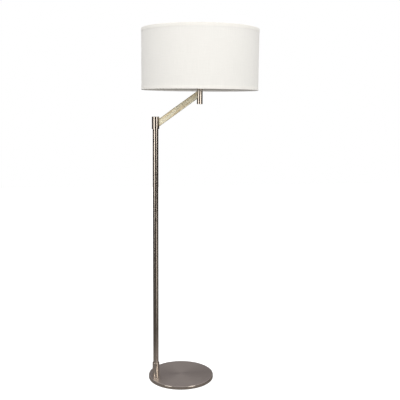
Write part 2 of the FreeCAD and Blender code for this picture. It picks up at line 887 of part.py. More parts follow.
def harp_ferrules():
    """The two sliding ferrules that lock the harp's feet to the saddle."""
    for name, side in (("harp_ferrule_left", -1), ("harp_ferrule_right", 1)):
        x = f"post_x + {harp_leg_x(side)}"
        bottom = f"({SEAT} + saddle_rise - ferrule_lap)"
        top = f"({bottom} + ferrule_length)"
        body = tube(name, x, bottom, top, "ferrule_radius", "(harp_wire + stud_gap)")
        soften(body, "Chamfer", "ferrule_chamfer", "ferrule_radius", top)


def socket_cap():
    """The bell-shaped cap at the foot of the socket."""
    rim = "(socket_radius - 1.5)"
    bore = "(socket_radius - 1.5 - bell_wall)"
    top = "(block_foot - 1)"
    turned("socket_cap", "post_x", HOLDER, [
        (NIPPLE_HOLE, "0"),
        ("bell_foot", "0"),
        (rim, "bell_rise"),
        (rim, top),
        (bore, top),
        (bore, "(bell_rise + bell_wall)"),
        ("bell_foot", "(2 * bell_wall)"),
        (NIPPLE_HOLE, "(2 * bell_wall)"),
    ])


def socket_shell():
    """The outer shell of the socket, slotted for the switch's shaft."""
    inner = "(socket_radius - shell_wall)"
    neck = "(socket_radius - 1.5 + slip_gap)"
    height = "(socket_height - shell_foot)"
    neck_height = "(block_foot - shell_foot)"
    body = turned("socket_shell", "post_x", f"{HOLDER} + shell_foot", [
        (neck, "0"),
        ("socket_radius", "0"),
        ("socket_radius", height),
        (inner, height),
        (inner, neck_height),
        (neck, neck_height),
    ])
    drill_front(body, "(knob_height - shell_foot)", "shaft_hole")


def drill_front(body, height, radius):
    """A round hole through a part's front, for the switch's shaft."""
    hole = sketch_on(body, "XZ_Plane")
    add_circle(hole, "0", height, radius)
    feature(body, "Pocket", hole, "(2 * socket_radius)", reverse=True)


def socket_liner():
    """The paper insulating sleeve inside the shell."""
    outer = "(socket_radius - shell_wall - slip_gap)"
    inner = "(socket_radius - shell_wall - slip_gap - liner_wall)"
    top = f"{HOLDER} + socket_height - 1"
    body = tube("socket_liner", "post_x", f"{HOLDER} + liner_foot", top, outer, inner)
    drill_front(body, "(knob_height - liner_foot)", "shaft_hole")


def switch_block():
    """The moulded block that holds the switch and the two contacts."""
    bottom = f"{HOLDER} + block_foot"
    top = f"{HOLDER} + block_top"
    body = tube("switch_block", "post_x", bottom, top, "(socket_radius - 2.5)", "0")
    drill_front(body, "(knob_height - block_foot)", "(shaft_radius + press_gap)")


def screw_shell():
    """The brass thread that takes the bulb."""
    bottom = f"{HOLDER} + block_top + slip_gap"
    top = f"{HOLDER} + socket_height - 1.5"
    tube("screw_shell", "post_x", bottom, top, "screw_shell_radius", "(screw_shell_radius - 0.6)")


def centre_contact():
    """The sprung brass tongue under the bulb's tip."""
    bottom = f"{HOLDER} + block_top + slip_gap"
    tube("centre_contact", "post_x", bottom, f"{bottom} + contact_thickness", "contact_radius", "0")


def switch_knob():
    """The ribbed knob, with its shaft, that turns the switch."""
    shaft_end = "(socket_radius / 2)"
    back = "(socket_radius + knob_stand_off)"
    front = "(socket_radius + knob_stand_off + knob_length)"
    body = new_body("switch_knob", "post_x", f"{HOLDER} + knob_height")
    sketch = sketch_on(body, "XY_Plane")
    add_outline(sketch, [
        ("0", f"-{shaft_end}"),
        ("shaft_radius", f"-{shaft_end}"),
        ("shaft_radius", f"-{back}"),
        ("(knob_radius - 1)", f"-{back}"),
        ("knob_radius", f"-({back} + 2)"),
        ("knob_radius", f"-({front} - 1)"),
        ("(knob_radius - 1)", f"-{front}"),
        ("0", f"-{front}"),
    ])
    turn(body, sketch)
    flute = sketch_on(body, "XZ_Plane", f"({back} + 3)")
    add_circle(flute, "knob_radius", "0", "knob_flute")
    groove = feature(body, "Pocket", flute, "knob_length", reverse=True)
    pattern = body.newObject("PartDesign::PolarPattern", "switch_knob_flutes")
    pattern.Originals = [groove]
    pattern.Axis = (sketch, ["V_Axis"])
    pattern.Angle = 360
    pattern.Occurrences = KNOB_FLUTES
    body.Tip = pattern


# ---------------------------------------------------------------- bulb

def bulb():
    """A standard screw-base bulb: glass, threaded cap and insulated tip."""
    turned("bulb_tip", "post_x", BULB_SEAT, [
        ("0", "0"),
        ("(bulb_tip_radius / 2)", "0"),
        ("bulb_tip_radius", "(bulb_tip_height - 2)"),
        ("bulb_tip_radius", "bulb_tip_height"),
        ("0", "bulb_tip_height"),
    ])
    bottom = f"({BULB_SEAT} + bulb_tip_height + press_gap)"
    bore = "(bulb_cap_radius - bulb_cap_wall)"
    tube("bulb_screw_base", "post_x", bottom, f"({BULB_SEAT} + bulb_cap_top)", "bulb_cap_radius", bore)
    bulb_globe(f"{BULB_SEAT} + bulb_cap_top + slip_gap")


def bulb_globe(base):
    """The pear-shaped glass, hollow and open at its neck, with a round top."""
    widest = size_of("bulb_radius")
    neck = size_of("glass_neck")
    wall = size_of("glass_wall")
    mouth = FreeCAD.Vector(size_of("post_x"), 0, size_of(base))
    middle = mouth + FreeCAD.Vector(0, 0, size_of("bulb_length - bulb_cap_top") - widest)
    inside_mouth = mouth - FreeCAD.Vector(0, 0, wall)
    outer = pear_solid(mouth, middle, widest, neck)
    inner = pear_solid(inside_mouth, middle, widest - wall, neck - wall)
    fixed_shape("bulb_globe", outer.cut(inner))


def pear_solid(foot, middle, widest, neck):
    """A solid pear: a straight neck, a flank and a round top about its middle."""
    joint, shoulder, crown = [
        middle + FreeCAD.Vector(math.cos(angle), 0, math.sin(angle)) * widest
        for angle in (math.radians(-35), math.radians(45), math.radians(90))
    ]
    rim = foot + FreeCAD.Vector(neck, 0, 0)
    neck_top = rim + FreeCAD.Vector(0, 0, size_of("glass_neck_height"))
    outline = Part.Wire([
        Part.LineSegment(foot, rim).toShape(),
        Part.LineSegment(rim, neck_top).toShape(),
        Part.LineSegment(neck_top, joint).toShape(),
        Part.Arc(joint, shoulder, crown).toShape(),
        Part.LineSegment(crown, foot).toShape(),
    ])
    return Part.Face(outline).revolve(foot, FreeCAD.Vector(0, 0, 1), 360)


# ---------------------------------------------------------------- wires

def stand_wire():
    """The flex from the inlet along the channel and up the pole."""
    start, corner, foot, top = world_points([
        ("0", f"{COVER_BORE} - wire_floor", "wire_floor"),
        ("0", "0", "wire_floor"),
        ("pole_x", "0", "wire_floor"),
        ("pole_x", "0", "wire_joint"),
    ])
    halfway = (corner + foot) * 0.5
    along = rounded_route([start, corner, halfway], size_of("wire_turn"))
    upward = rounded_route([halfway, foot, top], size_of("wire_upturn"))
    route = Part.Wire(along.Edges + upward.Edges)
    fixed_shape("stand_wire", bent_rod(route, size_of("wire_radius")))


def head_wire():
    """The flex from the swivel through the arm and up into the socket."""
    places = [
        ("pole_x", "0", "wire_joint"),
        ("pole_x", "0", "arm_root + wire_rise"),
        ("post_x", "0", f"arm_root + wire_rise + {ARM_RISE}"),
        ("post_x", "0", f"{HOLDER} + wire_end"),
    ]
    route = rounded_route(world_points(places), size_of("wire_bend"))
    fixed_shape("head_wire", bent_rod(route, size_of("wire_radius")))


# ---------------------------------------------------------------- shade

def shade_cylinders():
    """The cloth, its stiff liner and the tape over both edges."""
    liner_bottom = "(shade_bottom + trim_thickness)"
    liner_top = "(shade_top - trim_thickness)"
    trim_top = "(shade_bottom + trim_height)"
    trim_bottom = "(shade_top - trim_height)"
    tube("shade_fabric", "post_x", "shade_bottom", "shade_top", FABRIC_RADIUS, LINER_RADIUS)
    tube("shade_liner", "post_x", liner_bottom, liner_top, LINER_RADIUS, LINER_BORE)
    tube("bottom_trim", "post_x", "shade_bottom", trim_top, "shade_radius", FABRIC_RADIUS)
    tube("top_trim", "post_x", trim_bottom, "shade_top", "shade_radius", FABRIC_RADIUS)


def wire_ring(name, height):
    """One of the two wire hoops that hold the shade round."""
    ring = doc.addObject("Part::Torus", name)
    ring.setExpression("Radius1", bound(RING_RADIUS))
    ring.setExpression("Radius2", bound("frame_wire"))
    place(ring, "post_x", "0", height)
    finished(ring, name)


def spider():
    """The hub and its three spokes, which drop from the ring to the harp."""
    centre = FreeCAD.Vector(size_of("post_x"), 0, size_of(HUB_BOTTOM))
    thickness = size_of("hub_thickness")
    solid = Part.makeCylinder(size_of("hub_radius"), thickness, centre)
    for spoke in range(SPOKES):
        angle = math.radians(90) + 2 * math.pi * spoke / SPOKES
        solid = solid.fuse(spoke_rod(centre, angle))
    below = centre - FreeCAD.Vector(0, 0, thickness)
    bore = Part.makeCylinder(size_of("stud_radius + stud_gap"), 3 * thickness, below)
    fixed_shape("spider", solid.cut(bore).removeSplitter())


def spoke_rod(centre, angle):
    """One spoke: level over the hub, then up to the ring beside the cloth."""
    outward = FreeCAD.Vector(math.cos(angle), math.sin(angle), 0)
    middle = centre + FreeCAD.Vector(0, 0, size_of("hub_thickness") / 2)
    ring_height = size_of(TOP_RING_HEIGHT)
    points = [
        middle + outward * size_of("hub_radius - hub_thickness"),
        middle + outward * size_of(f"{RING_RADIUS} - spoke_run_up"),
        middle + outward * size_of(f"{RING_RADIUS} - 2 * frame_wire - slip_gap"),
    ]
    points[-1].z = ring_height
    return bent_rod(rounded_route(points, size_of("spoke_bend")), size_of("spoke_radius"))


def finial():
    """The turned knob that screws down on the stud and clamps the spider."""
    bore = "(stud_radius + stud_gap)"
    body = turned("finial", "post_x", HUB_TOP, [
        (bore, "press_gap"),
        ("finial_foot", "press_gap"),
        ("finial_foot", "(finial_height * 0.1)"),
        ("finial_neck", "(finial_height * 0.2)"),
        ("finial_neck", "(finial_height * 0.35)"),
        ("finial_knob", "(finial_height * 0.5)"),
        ("finial_knob", "(finial_height * 0.75)"),
        ("finial_top", "(finial_height * 0.95)"),
        ("0", "finial_height"),
        ("0", "finial_thread"),
        (bore, "finial_thread"),
    ])
    soften(body, "Fillet", "finial_rounding", "finial_knob", f"{HUB_TOP} + finial_height * 0.75")


# ---------------------------------------------------------------- assembly

felt_pad()
base_weight()
base_cover()
cord_grommet()
base_screws()
foot_plug()
foot_collar()
collar_grub_screw()
pole_tubes()
pole_coupler()
bushes()
stop_pin()
swivel_spigot()
retaining_ring()
swivel_sleeve()
sleeve_cap()
arm_bar()
post_tube()
post_caps()
threaded_nipple()
harp_saddle()
harp()
harp_stud()
harp_ferrules()
socket_cap()
socket_shell()
socket_liner()
switch_block()
screw_shell()
centre_contact()
switch_knob()
bulb()
stand_wire()
head_wire()
shade_cylinders()
wire_ring("top_ring", TOP_RING_HEIGHT)
wire_ring("bottom_ring", BOTTOM_RING_HEIGHT)
spider()
finial()
doc.recompute()

for item in doc.Objects:
    if "Invalid" in item.State or "Error" in item.State:
        raise RuntimeError(f"{item.Label} did not build: {item.State}")
for piece in parts:
    if piece.Shape.isNull() or not piece.Shape.isValid() or not piece.Shape.Solids:
        raise RuntimeError(f"{piece.Label} has no valid solid")

os.makedirs("parts", exist_ok=True)
for piece in parts:
    piece.Shape.exportStep(f"parts/{piece.Label}.step")
print(len(parts), "sub-parts written")
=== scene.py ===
"""Looks of the offset floor lamp: its metal, cloth, glass and plastic finishes, and the detailed
pieces that stand for plain CAD ones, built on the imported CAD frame.

Everything is in metres in the frame of the CAD model: +Z up, the floor at zero, -Y the front.
"""
import math

import bmesh
import bpy
from mathutils import Matrix, Vector, noise


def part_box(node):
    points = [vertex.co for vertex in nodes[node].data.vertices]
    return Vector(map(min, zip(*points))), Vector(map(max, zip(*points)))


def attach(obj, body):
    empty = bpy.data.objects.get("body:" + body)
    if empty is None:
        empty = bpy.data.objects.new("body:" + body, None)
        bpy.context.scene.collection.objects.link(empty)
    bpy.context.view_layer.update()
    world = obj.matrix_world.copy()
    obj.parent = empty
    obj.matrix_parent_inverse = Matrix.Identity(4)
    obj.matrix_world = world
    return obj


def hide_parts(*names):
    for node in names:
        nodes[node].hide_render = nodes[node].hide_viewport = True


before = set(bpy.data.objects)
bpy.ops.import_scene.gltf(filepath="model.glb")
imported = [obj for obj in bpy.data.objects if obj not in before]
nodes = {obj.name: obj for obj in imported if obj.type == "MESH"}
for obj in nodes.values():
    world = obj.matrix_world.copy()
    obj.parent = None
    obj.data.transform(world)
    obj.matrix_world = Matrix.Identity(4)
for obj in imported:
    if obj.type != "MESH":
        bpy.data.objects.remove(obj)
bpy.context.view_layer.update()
MM = 0.001
FULL_TURN = 2 * math.pi


# ---------------------------------------------------------------- places, read from the frame

def middle(node):
    """The centre of a CAD node's box."""
    low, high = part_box(node)
    return (low + high) / 2


def heights(node):
    """The lowest and highest level of a CAD node."""
    low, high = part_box(node)
    return low.z, high.z


def half_width(node):
    """Half of a CAD node's width from front to back: the radius of a round piece or of a bent wire."""
    low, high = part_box(node)
    return (high.y - low.y) / 2


POLE = middle("lower_pole")
SHADE = middle("shade_fabric")
POST = middle("post_tube")


# ---------------------------------------------------------------- camera, floor and light

CAMERA_PLACE = Vector((-0.3845, -2.8278, 1.2383))
CAMERA_YAW = math.radians(9.375)      # turned right of +Y
CAMERA_PITCH = math.radians(8.276)    # looking down
CAMERA_ROLL = math.radians(0.469)
CAMERA_LENS = 58.45
SENSOR = 36.0

STRIP_DISTANCE = 2.5                  # from the pole to the tall strip lights
LOW_DISTANCE = 1.0                    # from the pole to the low card that lights its lower half
WARM_LIGHT = (1.0, 0.965, 0.90)
LOW_LIGHT = (1.0, 0.93, 0.86)
KEY_LIGHT = (1.0, 0.985, 0.96)
FILL = 1.11                           # the even light that the cloth gets from all sides

# what the metal mirrors of the room, dark at eye level and paler towards the ceiling:
# the upward part of the direction looked in, and the colour there
ROOM = (
    (0.05, (0.020, 0.014, 0.009)),
    (0.45, (0.270, 0.250, 0.258)),
    (0.80, (0.530, 0.502, 0.515)),
)

FLOOR_HALF = 7.0
FLOOR_DROP = 0.2 * MM                 # keeps the floor clear of the felt that stands on it
FLOOR_PAPER = 0.5                     # the floor as the camera sees it: paper that takes a shadow,
FLOOR_GLOW = 0.8                      # and a glow that lifts it to white
FLOOR_BOUNCE = (0.12, 0.115, 0.11, 1)
POOL_RADIUS = 0.30                    # the pool of light round the lamp, as the metal mirrors it
POOL_MIRRORED = (0.20, 0.18, 0.165, 1)
FLOOR_MIRRORED = (0.03, 0.024, 0.018, 1)


def link_object(name, data):
    """A new object for a mesh, a light or a camera, in the scene."""
    made = bpy.data.objects.new(name, data)
    bpy.context.scene.collection.objects.link(made)
    return made


def camera_axes():
    """The camera's right, up and back directions."""
    level = math.cos(CAMERA_PITCH)
    ahead = Vector((math.sin(CAMERA_YAW) * level, math.cos(CAMERA_YAW) * level, -math.sin(CAMERA_PITCH)))
    flat_right = Vector((math.cos(CAMERA_YAW), -math.sin(CAMERA_YAW), 0))
    flat_up = flat_right.cross(ahead)
    right = math.cos(CAMERA_ROLL) * flat_right + math.sin(CAMERA_ROLL) * flat_up
    up = -math.sin(CAMERA_ROLL) * flat_right + math.cos(CAMERA_ROLL) * flat_up
    return right, up, -ahead


def add_camera():
    """The camera where the photographer stood, a little above the arm, in front and to the left."""
    data = bpy.data.cameras.new("camera")
    data.lens = CAMERA_LENS
    data.sensor_width = SENSOR
    camera = link_object("camera", data)
    turned = Matrix(camera_axes()).transposed().to_4x4()
    camera.matrix_world = Matrix.Translation(CAMERA_PLACE) @ turned
    bpy.context.scene.camera = camera


def around_pole(bearing, distance, height):
    """A place round the lamp: bearing in degrees to the right of the camera as the lamp sees it."""
    to_camera = CAMERA_PLACE - POLE
    straight = math.atan2(to_camera.y, to_camera.x)
    angle = straight + math.radians(bearing)
    return Vector((POLE.x + distance * math.cos(angle), POLE.y + distance * math.sin(angle), height))


def add_panel(name, place, target, width, height, radiance, colour, glossy=True, diffuse=True):
    """A rectangular light panel that faces target, as bright as radiance, unseen by the camera itself."""
    data = bpy.data.lights.new(name, "AREA")
    data.shape = "RECTANGLE"
    data.size = width
    data.size_y = height
    data.energy = radiance * math.pi * width * height
    data.color = colour
    panel = link_object(name, data)
    panel.location = place
    panel.rotation_euler = (target - place).to_track_quat("-Z", "Y").to_euler()
    panel.visible_camera = False
    panel.visible_glossy = glossy
    panel.visible_diffuse = diffuse


def add_strip(name, bearing, bottom, top, width, radiance, colour=WARM_LIGHT, distance=STRIP_DISTANCE):
    """An upright strip light from bottom to top, which the metal shows as a bright vertical line."""
    place = around_pole(bearing, distance, (bottom + top) / 2)
    level_target = Vector((POLE.x, POLE.y, place.z))
    add_panel(name, place, level_target, width, top - bottom, radiance, colour, diffuse=False)


def add_lights():
    """Strips each side of the camera for the metal, two weak ones behind, and a soft key for the cloth."""
    add_strip("left_strip", bearing=-46, bottom=0.55, top=2.3, width=1.1, radiance=2.9)
    add_strip("right_strip", bearing=39, bottom=1.0, top=2.3, width=1.2, radiance=2.9)
    add_strip("low_card", bearing=41, bottom=0.0, top=0.62, width=0.28, radiance=1.4,
              colour=LOW_LIGHT, distance=LOW_DISTANCE)
    add_strip("rear_left_strip", bearing=-152, bottom=0.3, top=2.2, width=0.5, radiance=0.32)
    add_strip("rear_right_strip", bearing=152, bottom=0.3, top=2.2, width=0.5, radiance=0.32)
    key_place = around_pole(bearing=5, distance=3.4, height=2.7)
    add_panel("soft_key", key_place, Vector(SHADE), width=2.6, height=2.6, radiance=2.15,
              colour=KEY_LIGHT, glossy=False)


def grey(level):
    """A neutral colour with its alpha."""
    return level, level, level, 1


def background(tree, colour):
    """A world background of one colour."""
    made = tree.nodes.new("ShaderNodeBackground")
    made.inputs["Color"].default_value = colour
    return made


def either(tree, choice, first, second):
    """A shader that is first where choice is 0 and second where it is 1."""
    made = tree.nodes.new("ShaderNodeMixShader")
    for socket, source in zip(made.inputs, (choice, first, second)):
        tree.links.new(source, socket)
    return made.outputs[0]


def room_colour(tree):
    """The room's colour in the direction looked in, from ROOM."""
    direction = tree.nodes.new("ShaderNodeTexCoord")
    parts = tree.nodes.new("ShaderNodeSeparateXYZ")
    tree.links.new(direction.outputs["Generated"], parts.inputs[0])
    ramp = tree.nodes.new("ShaderNodeValToRGB")
    middle_stop = ROOM[1][0]
    ramp.color_ramp.elements.new(middle_stop)
    for stop, (height, colour) in zip(ramp.color_ramp.elements, ROOM):
        stop.position = height
        stop.color = colour + (1,)
    tree.links.new(parts.outputs["Z"], ramp.inputs[0])
    return ramp.outputs[0]


def add_world():
    """A pale studio: white behind the lamp, even light all round, and a dim room in the metal."""
    world = bpy.data.worlds.new("studio")
    world.use_nodes = True
    bpy.context.scene.world = world
    tree = world.node_tree
    tree.nodes.clear()
    rays = tree.nodes.new("ShaderNodeLightPath").outputs
    room = background(tree, grey(0))
    tree.links.new(room_colour(tree), room.inputs["Color"])
    fill = background(tree, grey(FILL))
    white = background(tree, grey(1))
    lit = either(tree, rays["Is Glossy Ray"], fill.outputs[0], room.outputs[0])
    seen = either(tree, rays["Is Camera Ray"], lit, white.outputs[0])
    output = tree.nodes.new("ShaderNodeOutputWorld")
    tree.links.new(seen, output.inputs["Surface"])


def mixed_colour(tree, share, first, second):
    """A colour between first and second, either of them a colour or another node's."""
    made = tree.nodes.new("ShaderNodeMix")
    made.data_type = "RGBA"
    tree.links.new(share, made.inputs["Factor"])
    for name, source in (("A", first), ("B", second)):
        if isinstance(source, bpy.types.NodeSocket):
            tree.links.new(source, made.inputs[name])
        else:
            made.inputs[name].default_value = source
    return made.outputs["Result"]


def mirrored_floor(tree):
    """The floor's colour as the metal mirrors it: paler in the pool of light close to the lamp."""
    place = tree.nodes.new("ShaderNodeTexCoord")
    away = tree.nodes.new("ShaderNodeVectorMath")
    away.operation = "LENGTH"
    tree.links.new(place.outputs["Object"], away.inputs[0])
    fading = tree.nodes.new("ShaderNodeMapRange")
    fading.inputs["From Min"].default_value = POOL_RADIUS
    fading.inputs["From Max"].default_value = 2 * POOL_RADIUS
    tree.links.new(away.outputs["Value"], fading.inputs["Value"])
    return mixed_colour(tree, fading.outputs["Result"], POOL_MIRRORED, FLOOR_MIRRORED)


def floor_material():
    """White paper to the camera, and dimmer to the metal and the cloth, which it would flood with light."""
    material = bpy.data.materials.new("studio_floor")
    material.use_nodes = True
    tree = material.node_tree
    rays = tree.nodes.new("ShaderNodeLightPath").outputs
    shader = tree.nodes["Principled BSDF"]
    shader.inputs["Roughness"].default_value = 0.9
    tone = mixed_colour(tree, rays["Is Glossy Ray"], FLOOR_BOUNCE, mirrored_floor(tree))
    tree.links.new(tone, shader.inputs["Base Color"])
    paper = tree.nodes.new("ShaderNodeBsdfDiffuse")
    paper.inputs["Color"].default_value = grey(FLOOR_PAPER)
    glow = tree.nodes.new("ShaderNodeEmission")
    glow.inputs["Color"].default_value = grey(FLOOR_GLOW)
    pale = tree.nodes.new("ShaderNodeAddShader")
    tree.links.new(paper.outputs[0], pale.inputs[0])
    tree.links.new(glow.outputs[0], pale.inputs[1])
    seen = either(tree, rays["Is Camera Ray"], shader.outputs[0], pale.outputs[0])
    tree.links.new(seen, tree.nodes["Material Output"].inputs["Surface"])
    return material


def add_floor():
    """A plain pale floor, white to the camera but for a faint shadow."""
    shape = bmesh.new()
    bmesh.ops.create_grid(shape, x_segments=4, y_segments=4, size=FLOOR_HALF)
    bmesh.ops.translate(shape, vec=(0, 0, -FLOOR_DROP), verts=shape.verts)
    mesh = bpy.data.meshes.new("floor")
    shape.to_mesh(mesh)
    shape.free()
    mesh.materials.append(floor_material())
    link_object("floor", mesh)


# ---------------------------------------------------------------- material building

class Finish:
    """A node material under construction, with short calls for the nodes that the finishes below share."""

    def __init__(self, name, **constants):
        self.material = bpy.data.materials.new(name)
        self.material.use_nodes = True
        self.tree = self.material.node_tree
        self.shader = self.tree.nodes["Principled BSDF"]
        for socket, value in constants.items():
            self.shader.inputs[socket.replace("_", " ")].default_value = value
        self.object_place = self.node("ShaderNodeTexCoord").outputs["Object"]

    def node(self, kind, **settings):
        """A new node with its settings."""
        made = self.tree.nodes.new(kind)
        for setting, value in settings.items():
            setattr(made, setting, value)
        return made

    def feed(self, socket, source):
        """Links source to socket, or sets the socket if source is a plain value."""
        if isinstance(source, bpy.types.NodeSocket):
            self.tree.links.new(source, socket)
        else:
            socket.default_value = source

    def math(self, operation, first, second=0.0):
        """A math node's result."""
        made = self.node("ShaderNodeMath", operation=operation)
        self.feed(made.inputs[0], first)
        self.feed(made.inputs[1], second)
        return made.outputs[0]

    def axes(self):
        """The three coordinates of the surface point in the object's frame."""
        made = self.node("ShaderNodeSeparateXYZ")
        self.feed(made.inputs[0], self.object_place)
        return made.outputs

    def vector(self, x, y, z):
        """Three numbers as one vector."""
        made = self.node("ShaderNodeCombineXYZ")
        for socket, value in zip(made.inputs, (x, y, z)):
            self.feed(socket, value)
        return made.outputs[0]

    def dot(self, place, direction):
        """How far a place lies along a fixed direction."""
        made = self.node("ShaderNodeVectorMath", operation="DOT_PRODUCT")
        self.feed(made.inputs[0], place)
        made.inputs[1].default_value = direction
        return made.outputs["Value"]

    def noise(self, place, scale, detail=2.0, roughness=0.5):
        """Smooth noise from 0 to 1 at a place."""
        made = self.node("ShaderNodeTexNoise")
        self.feed(made.inputs["Vector"], place)
        made.inputs["Scale"].default_value = scale
        made.inputs["Detail"].default_value = detail
        made.inputs["Roughness"].default_value = roughness
        return made.outputs["Fac"]

    def streaks(self, coordinates, scales, detail=2.0, roughness=0.5):
        """Noise from 0 to 1 that varies so many times a metre along each of three coordinates."""
        scaled = [self.math("MULTIPLY", value, scale) for value, scale in zip(coordinates, scales)]
        return self.noise(self.vector(*scaled), 1.0, detail, roughness)

    def spread(self, value, low, high, from_low=0.0, from_high=1.0):
        """value mapped from one range to another, and held there."""
        made = self.node("ShaderNodeMapRange")
        self.feed(made.inputs["Value"], value)
        made.inputs["From Min"].default_value = from_low
        made.inputs["From Max"].default_value = from_high
        made.inputs["To Min"].default_value = low
        made.inputs["To Max"].default_value = high
        return made.outputs["Result"]

    def blend(self, share, first, second):
        """A colour between first and second."""
        made = self.node("ShaderNodeMix", data_type="RGBA")
        self.feed(made.inputs["Factor"], share)
        self.feed(made.inputs["A"], first)
        self.feed(made.inputs["B"], second)
        return made.outputs["Result"]

    def relief(self, height, distance, strength, under=None):
        """A bump of that depth in metres, over another one if given."""
        made = self.node("ShaderNodeBump")
        made.inputs["Strength"].default_value = strength
        made.inputs["Distance"].default_value = distance
        self.feed(made.inputs["Height"], height)
        if under is not None:
            self.feed(made.inputs["Normal"], under)
        return made.outputs["Normal"]

    def paint(self, colour, roughness, normal):
        """Feeds what varies over the surface to the shader, and gives the finished material."""
        for name, source in (("Base Color", colour), ("Roughness", roughness), ("Normal", normal)):
            self.feed(self.shader.inputs[name], source)
        return self.material

    def edges(self, radius, reach=0.86):
        """How near an edge the surface is, from 0 to 1; a higher reach widens it."""
        bevel = self.node("ShaderNodeBevel", samples=4)
        bevel.inputs["Radius"].default_value = radius
        here = self.node("ShaderNodeNewGeometry")
        across = self.node("ShaderNodeVectorMath", operation="DOT_PRODUCT")
        self.feed(across.inputs[0], bevel.outputs["Normal"])
        self.feed(across.inputs[1], here.outputs["Normal"])
        return self.spread(across.outputs["Value"], 1.0, 0.0, reach, 1.0)


def shade_of(colour, factor):
    """A colour made lighter or darker, with its alpha."""
    return tuple(channel * factor for channel in colour) + (1.0,)


# ---------------------------------------------------------------- metal finishes

NICKEL = (0.62, 0.565, 0.515)
# ARM_LIGHT and ARM_SHADE are lit and shaded copies of the arm's tan, blended in clouds as painted
# reflections
ARM_LIGHT = (1.0, 0.97, 0.77, 1)
ARM_SHADE = (0.93, 0.79, 0.525, 1)
# painted reflection: the dark room as the arm's rounded edges would mirror it
ARM_DARK_EDGE_REFLECTION = (0.16, 0.13, 0.09, 1)
STEEL = (0.56, 0.57, 0.58)
BRASS = (0.83, 0.62, 0.29)
ALUMINIUM = (0.86, 0.87, 0.88)
IRON = (0.085, 0.08, 0.078)
ARM_EDGE_WIDTH = 3 * MM               # how far in from its edges the painted dark reflection reaches

# how many times a metre a noise varies: twice along the brush lines, then across them
BRUSH_TONE = (22, 22, 1500)
BRUSH_SCRATCHES = (60, 60, 5200)
# the same for the arm's painted reflection clouds and its brush lines: up its length, across it, and
# through it
ARM_REFLECTION_CLOUDS = (9, 95, 0)
ARM_LINES = (60, 4200, 0)

SMUDGES = 14.0                        # times a metre, where hands have dulled the metal
WORN_EDGE = 1.2 * MM                  # how far in from a brushed piece's edges they are rubbed paler
RIM_START = 4 * MM                    # how far in from the base's outside its buffed edge begins
RIM_FADE = 1.5 * MM
RIM_ROUGH = 0.22                      # the buffed edge's roughness, as a share of the top's


def brushed(name, colour, rough, stretch, across_grain, rim=None):
    """Brushed metal. across_grain(finish) gives the coordinate in metres that crosses the brush lines,
    and stretch is how strongly they pull reflections out across themselves. Past rim, if it is given,
    that coordinate is on a rounded edge, which is buffed smoother."""
    finish = Finish(name, Metallic=1.0, Anisotropic=stretch, Anisotropic_Rotation=0.25)
    crossing = across_grain(finish)
    x, y, _ = finish.axes()
    lines = finish.streaks((x, y, crossing), BRUSH_TONE, 3.0, 0.65)
    scratches = finish.streaks((x, y, crossing), BRUSH_SCRATCHES, 2.0, 0.6)
    smudges = finish.noise(finish.object_place, SMUDGES, 3.0, 0.55)
    worn = finish.edges(WORN_EDGE)
    tone = finish.blend(lines, shade_of(colour, 0.93), shade_of(colour, 1.05))
    smudged = finish.blend(finish.spread(smudges, 0.0, 0.35, 0.52, 0.72), tone, shade_of(colour, 0.90))
    bright = finish.blend(finish.math("MULTIPLY", worn, 0.5), smudged, shade_of(colour, 1.18))
    streaked = finish.spread(scratches, rough * 0.88, rough * 1.12, 0.3, 0.7)
    patchy = finish.math("ADD", streaked, finish.spread(smudges, -0.01, 0.015))
    polished = finish.math("SUBTRACT", patchy, finish.math("MULTIPLY", worn, 0.02))
    if rim is not None:
        buffed = finish.spread(crossing, 1.0, RIM_ROUGH, rim, rim + RIM_FADE)
        polished = finish.math("MULTIPLY", polished, buffed)
    tangent = finish.node("ShaderNodeTangent", direction_type="RADIAL", axis="Z")
    finish.feed(finish.shader.inputs["Tangent"], tangent.outputs[0])
    return finish.paint(bright, polished, finish.relief(scratches, 0.004 * MM, 0.06))


def up_the_piece(finish):
    """Brush lines that run round an upright tube cross its height."""
    return finish.axes()[2]


def out_from_centre(finish):
    """Brush lines that run round a spun disc cross its radius."""
    flat = finish.node("ShaderNodeVectorMath", operation="MULTIPLY")
    finish.feed(flat.inputs[0], finish.object_place)
    flat.inputs[1].default_value = (1, 1, 0)
    length = finish.node("ShaderNodeVectorMath", operation="LENGTH")
    finish.feed(length.inputs[0], flat.outputs["Vector"])
    return length.outputs["Value"]


def up_the_arm():
    """The unit vector up the arm's slope, from the corners of its box."""
    low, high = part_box("arm_bar")
    return Vector((high.x - low.x, 0, high.z - low.z)).normalized()


def satin_bar(name):
    """The arm's satin metal under a pale lacquer: soft clouds of painted light and shade up its length,
    standing in for reflections, and painted dark reflections along its edges.
    """
    finish = Finish(name, Metallic=0.36, Anisotropic=0.5, Anisotropic_Rotation=0.25)
    slope = up_the_arm()
    along = finish.dot(finish.object_place, (slope.x, 0, slope.z))
    across = finish.dot(finish.object_place, (-slope.z, 0, slope.x))
    reflection_and_roughness_clouds = finish.streaks((along, across, 0.0), ARM_REFLECTION_CLOUDS, detail=1.0)
    lines = finish.streaks((along, across, 0.0), ARM_LINES)
    # painted light and shade: clouds between the lit and the shaded tan stand in for reflections
    tone = finish.blend(finish.spread(reflection_and_roughness_clouds, 0.0, 1.0, 0.36, 0.62), ARM_SHADE, ARM_LIGHT)
    brushed_tone = finish.blend(finish.spread(lines, 0.0, 0.15), tone, ARM_SHADE)
    # painted reflection: the edges are darkened as if they mirrored the dark room
    painted_dark_edge = finish.spread(finish.edges(ARM_EDGE_WIDTH, reach=0.95), 0.0, 0.9)
    edged = finish.blend(painted_dark_edge, brushed_tone, ARM_DARK_EDGE_REFLECTION)
    tangent = finish.node("ShaderNodeTangent", direction_type="RADIAL", axis="Y")
    finish.feed(finish.shader.inputs["Tangent"], tangent.outputs[0])
    return finish.paint(edged, finish.spread(reflection_and_roughness_clouds, 0.36, 0.46), finish.relief(lines, 0.003 * MM, 0.05))


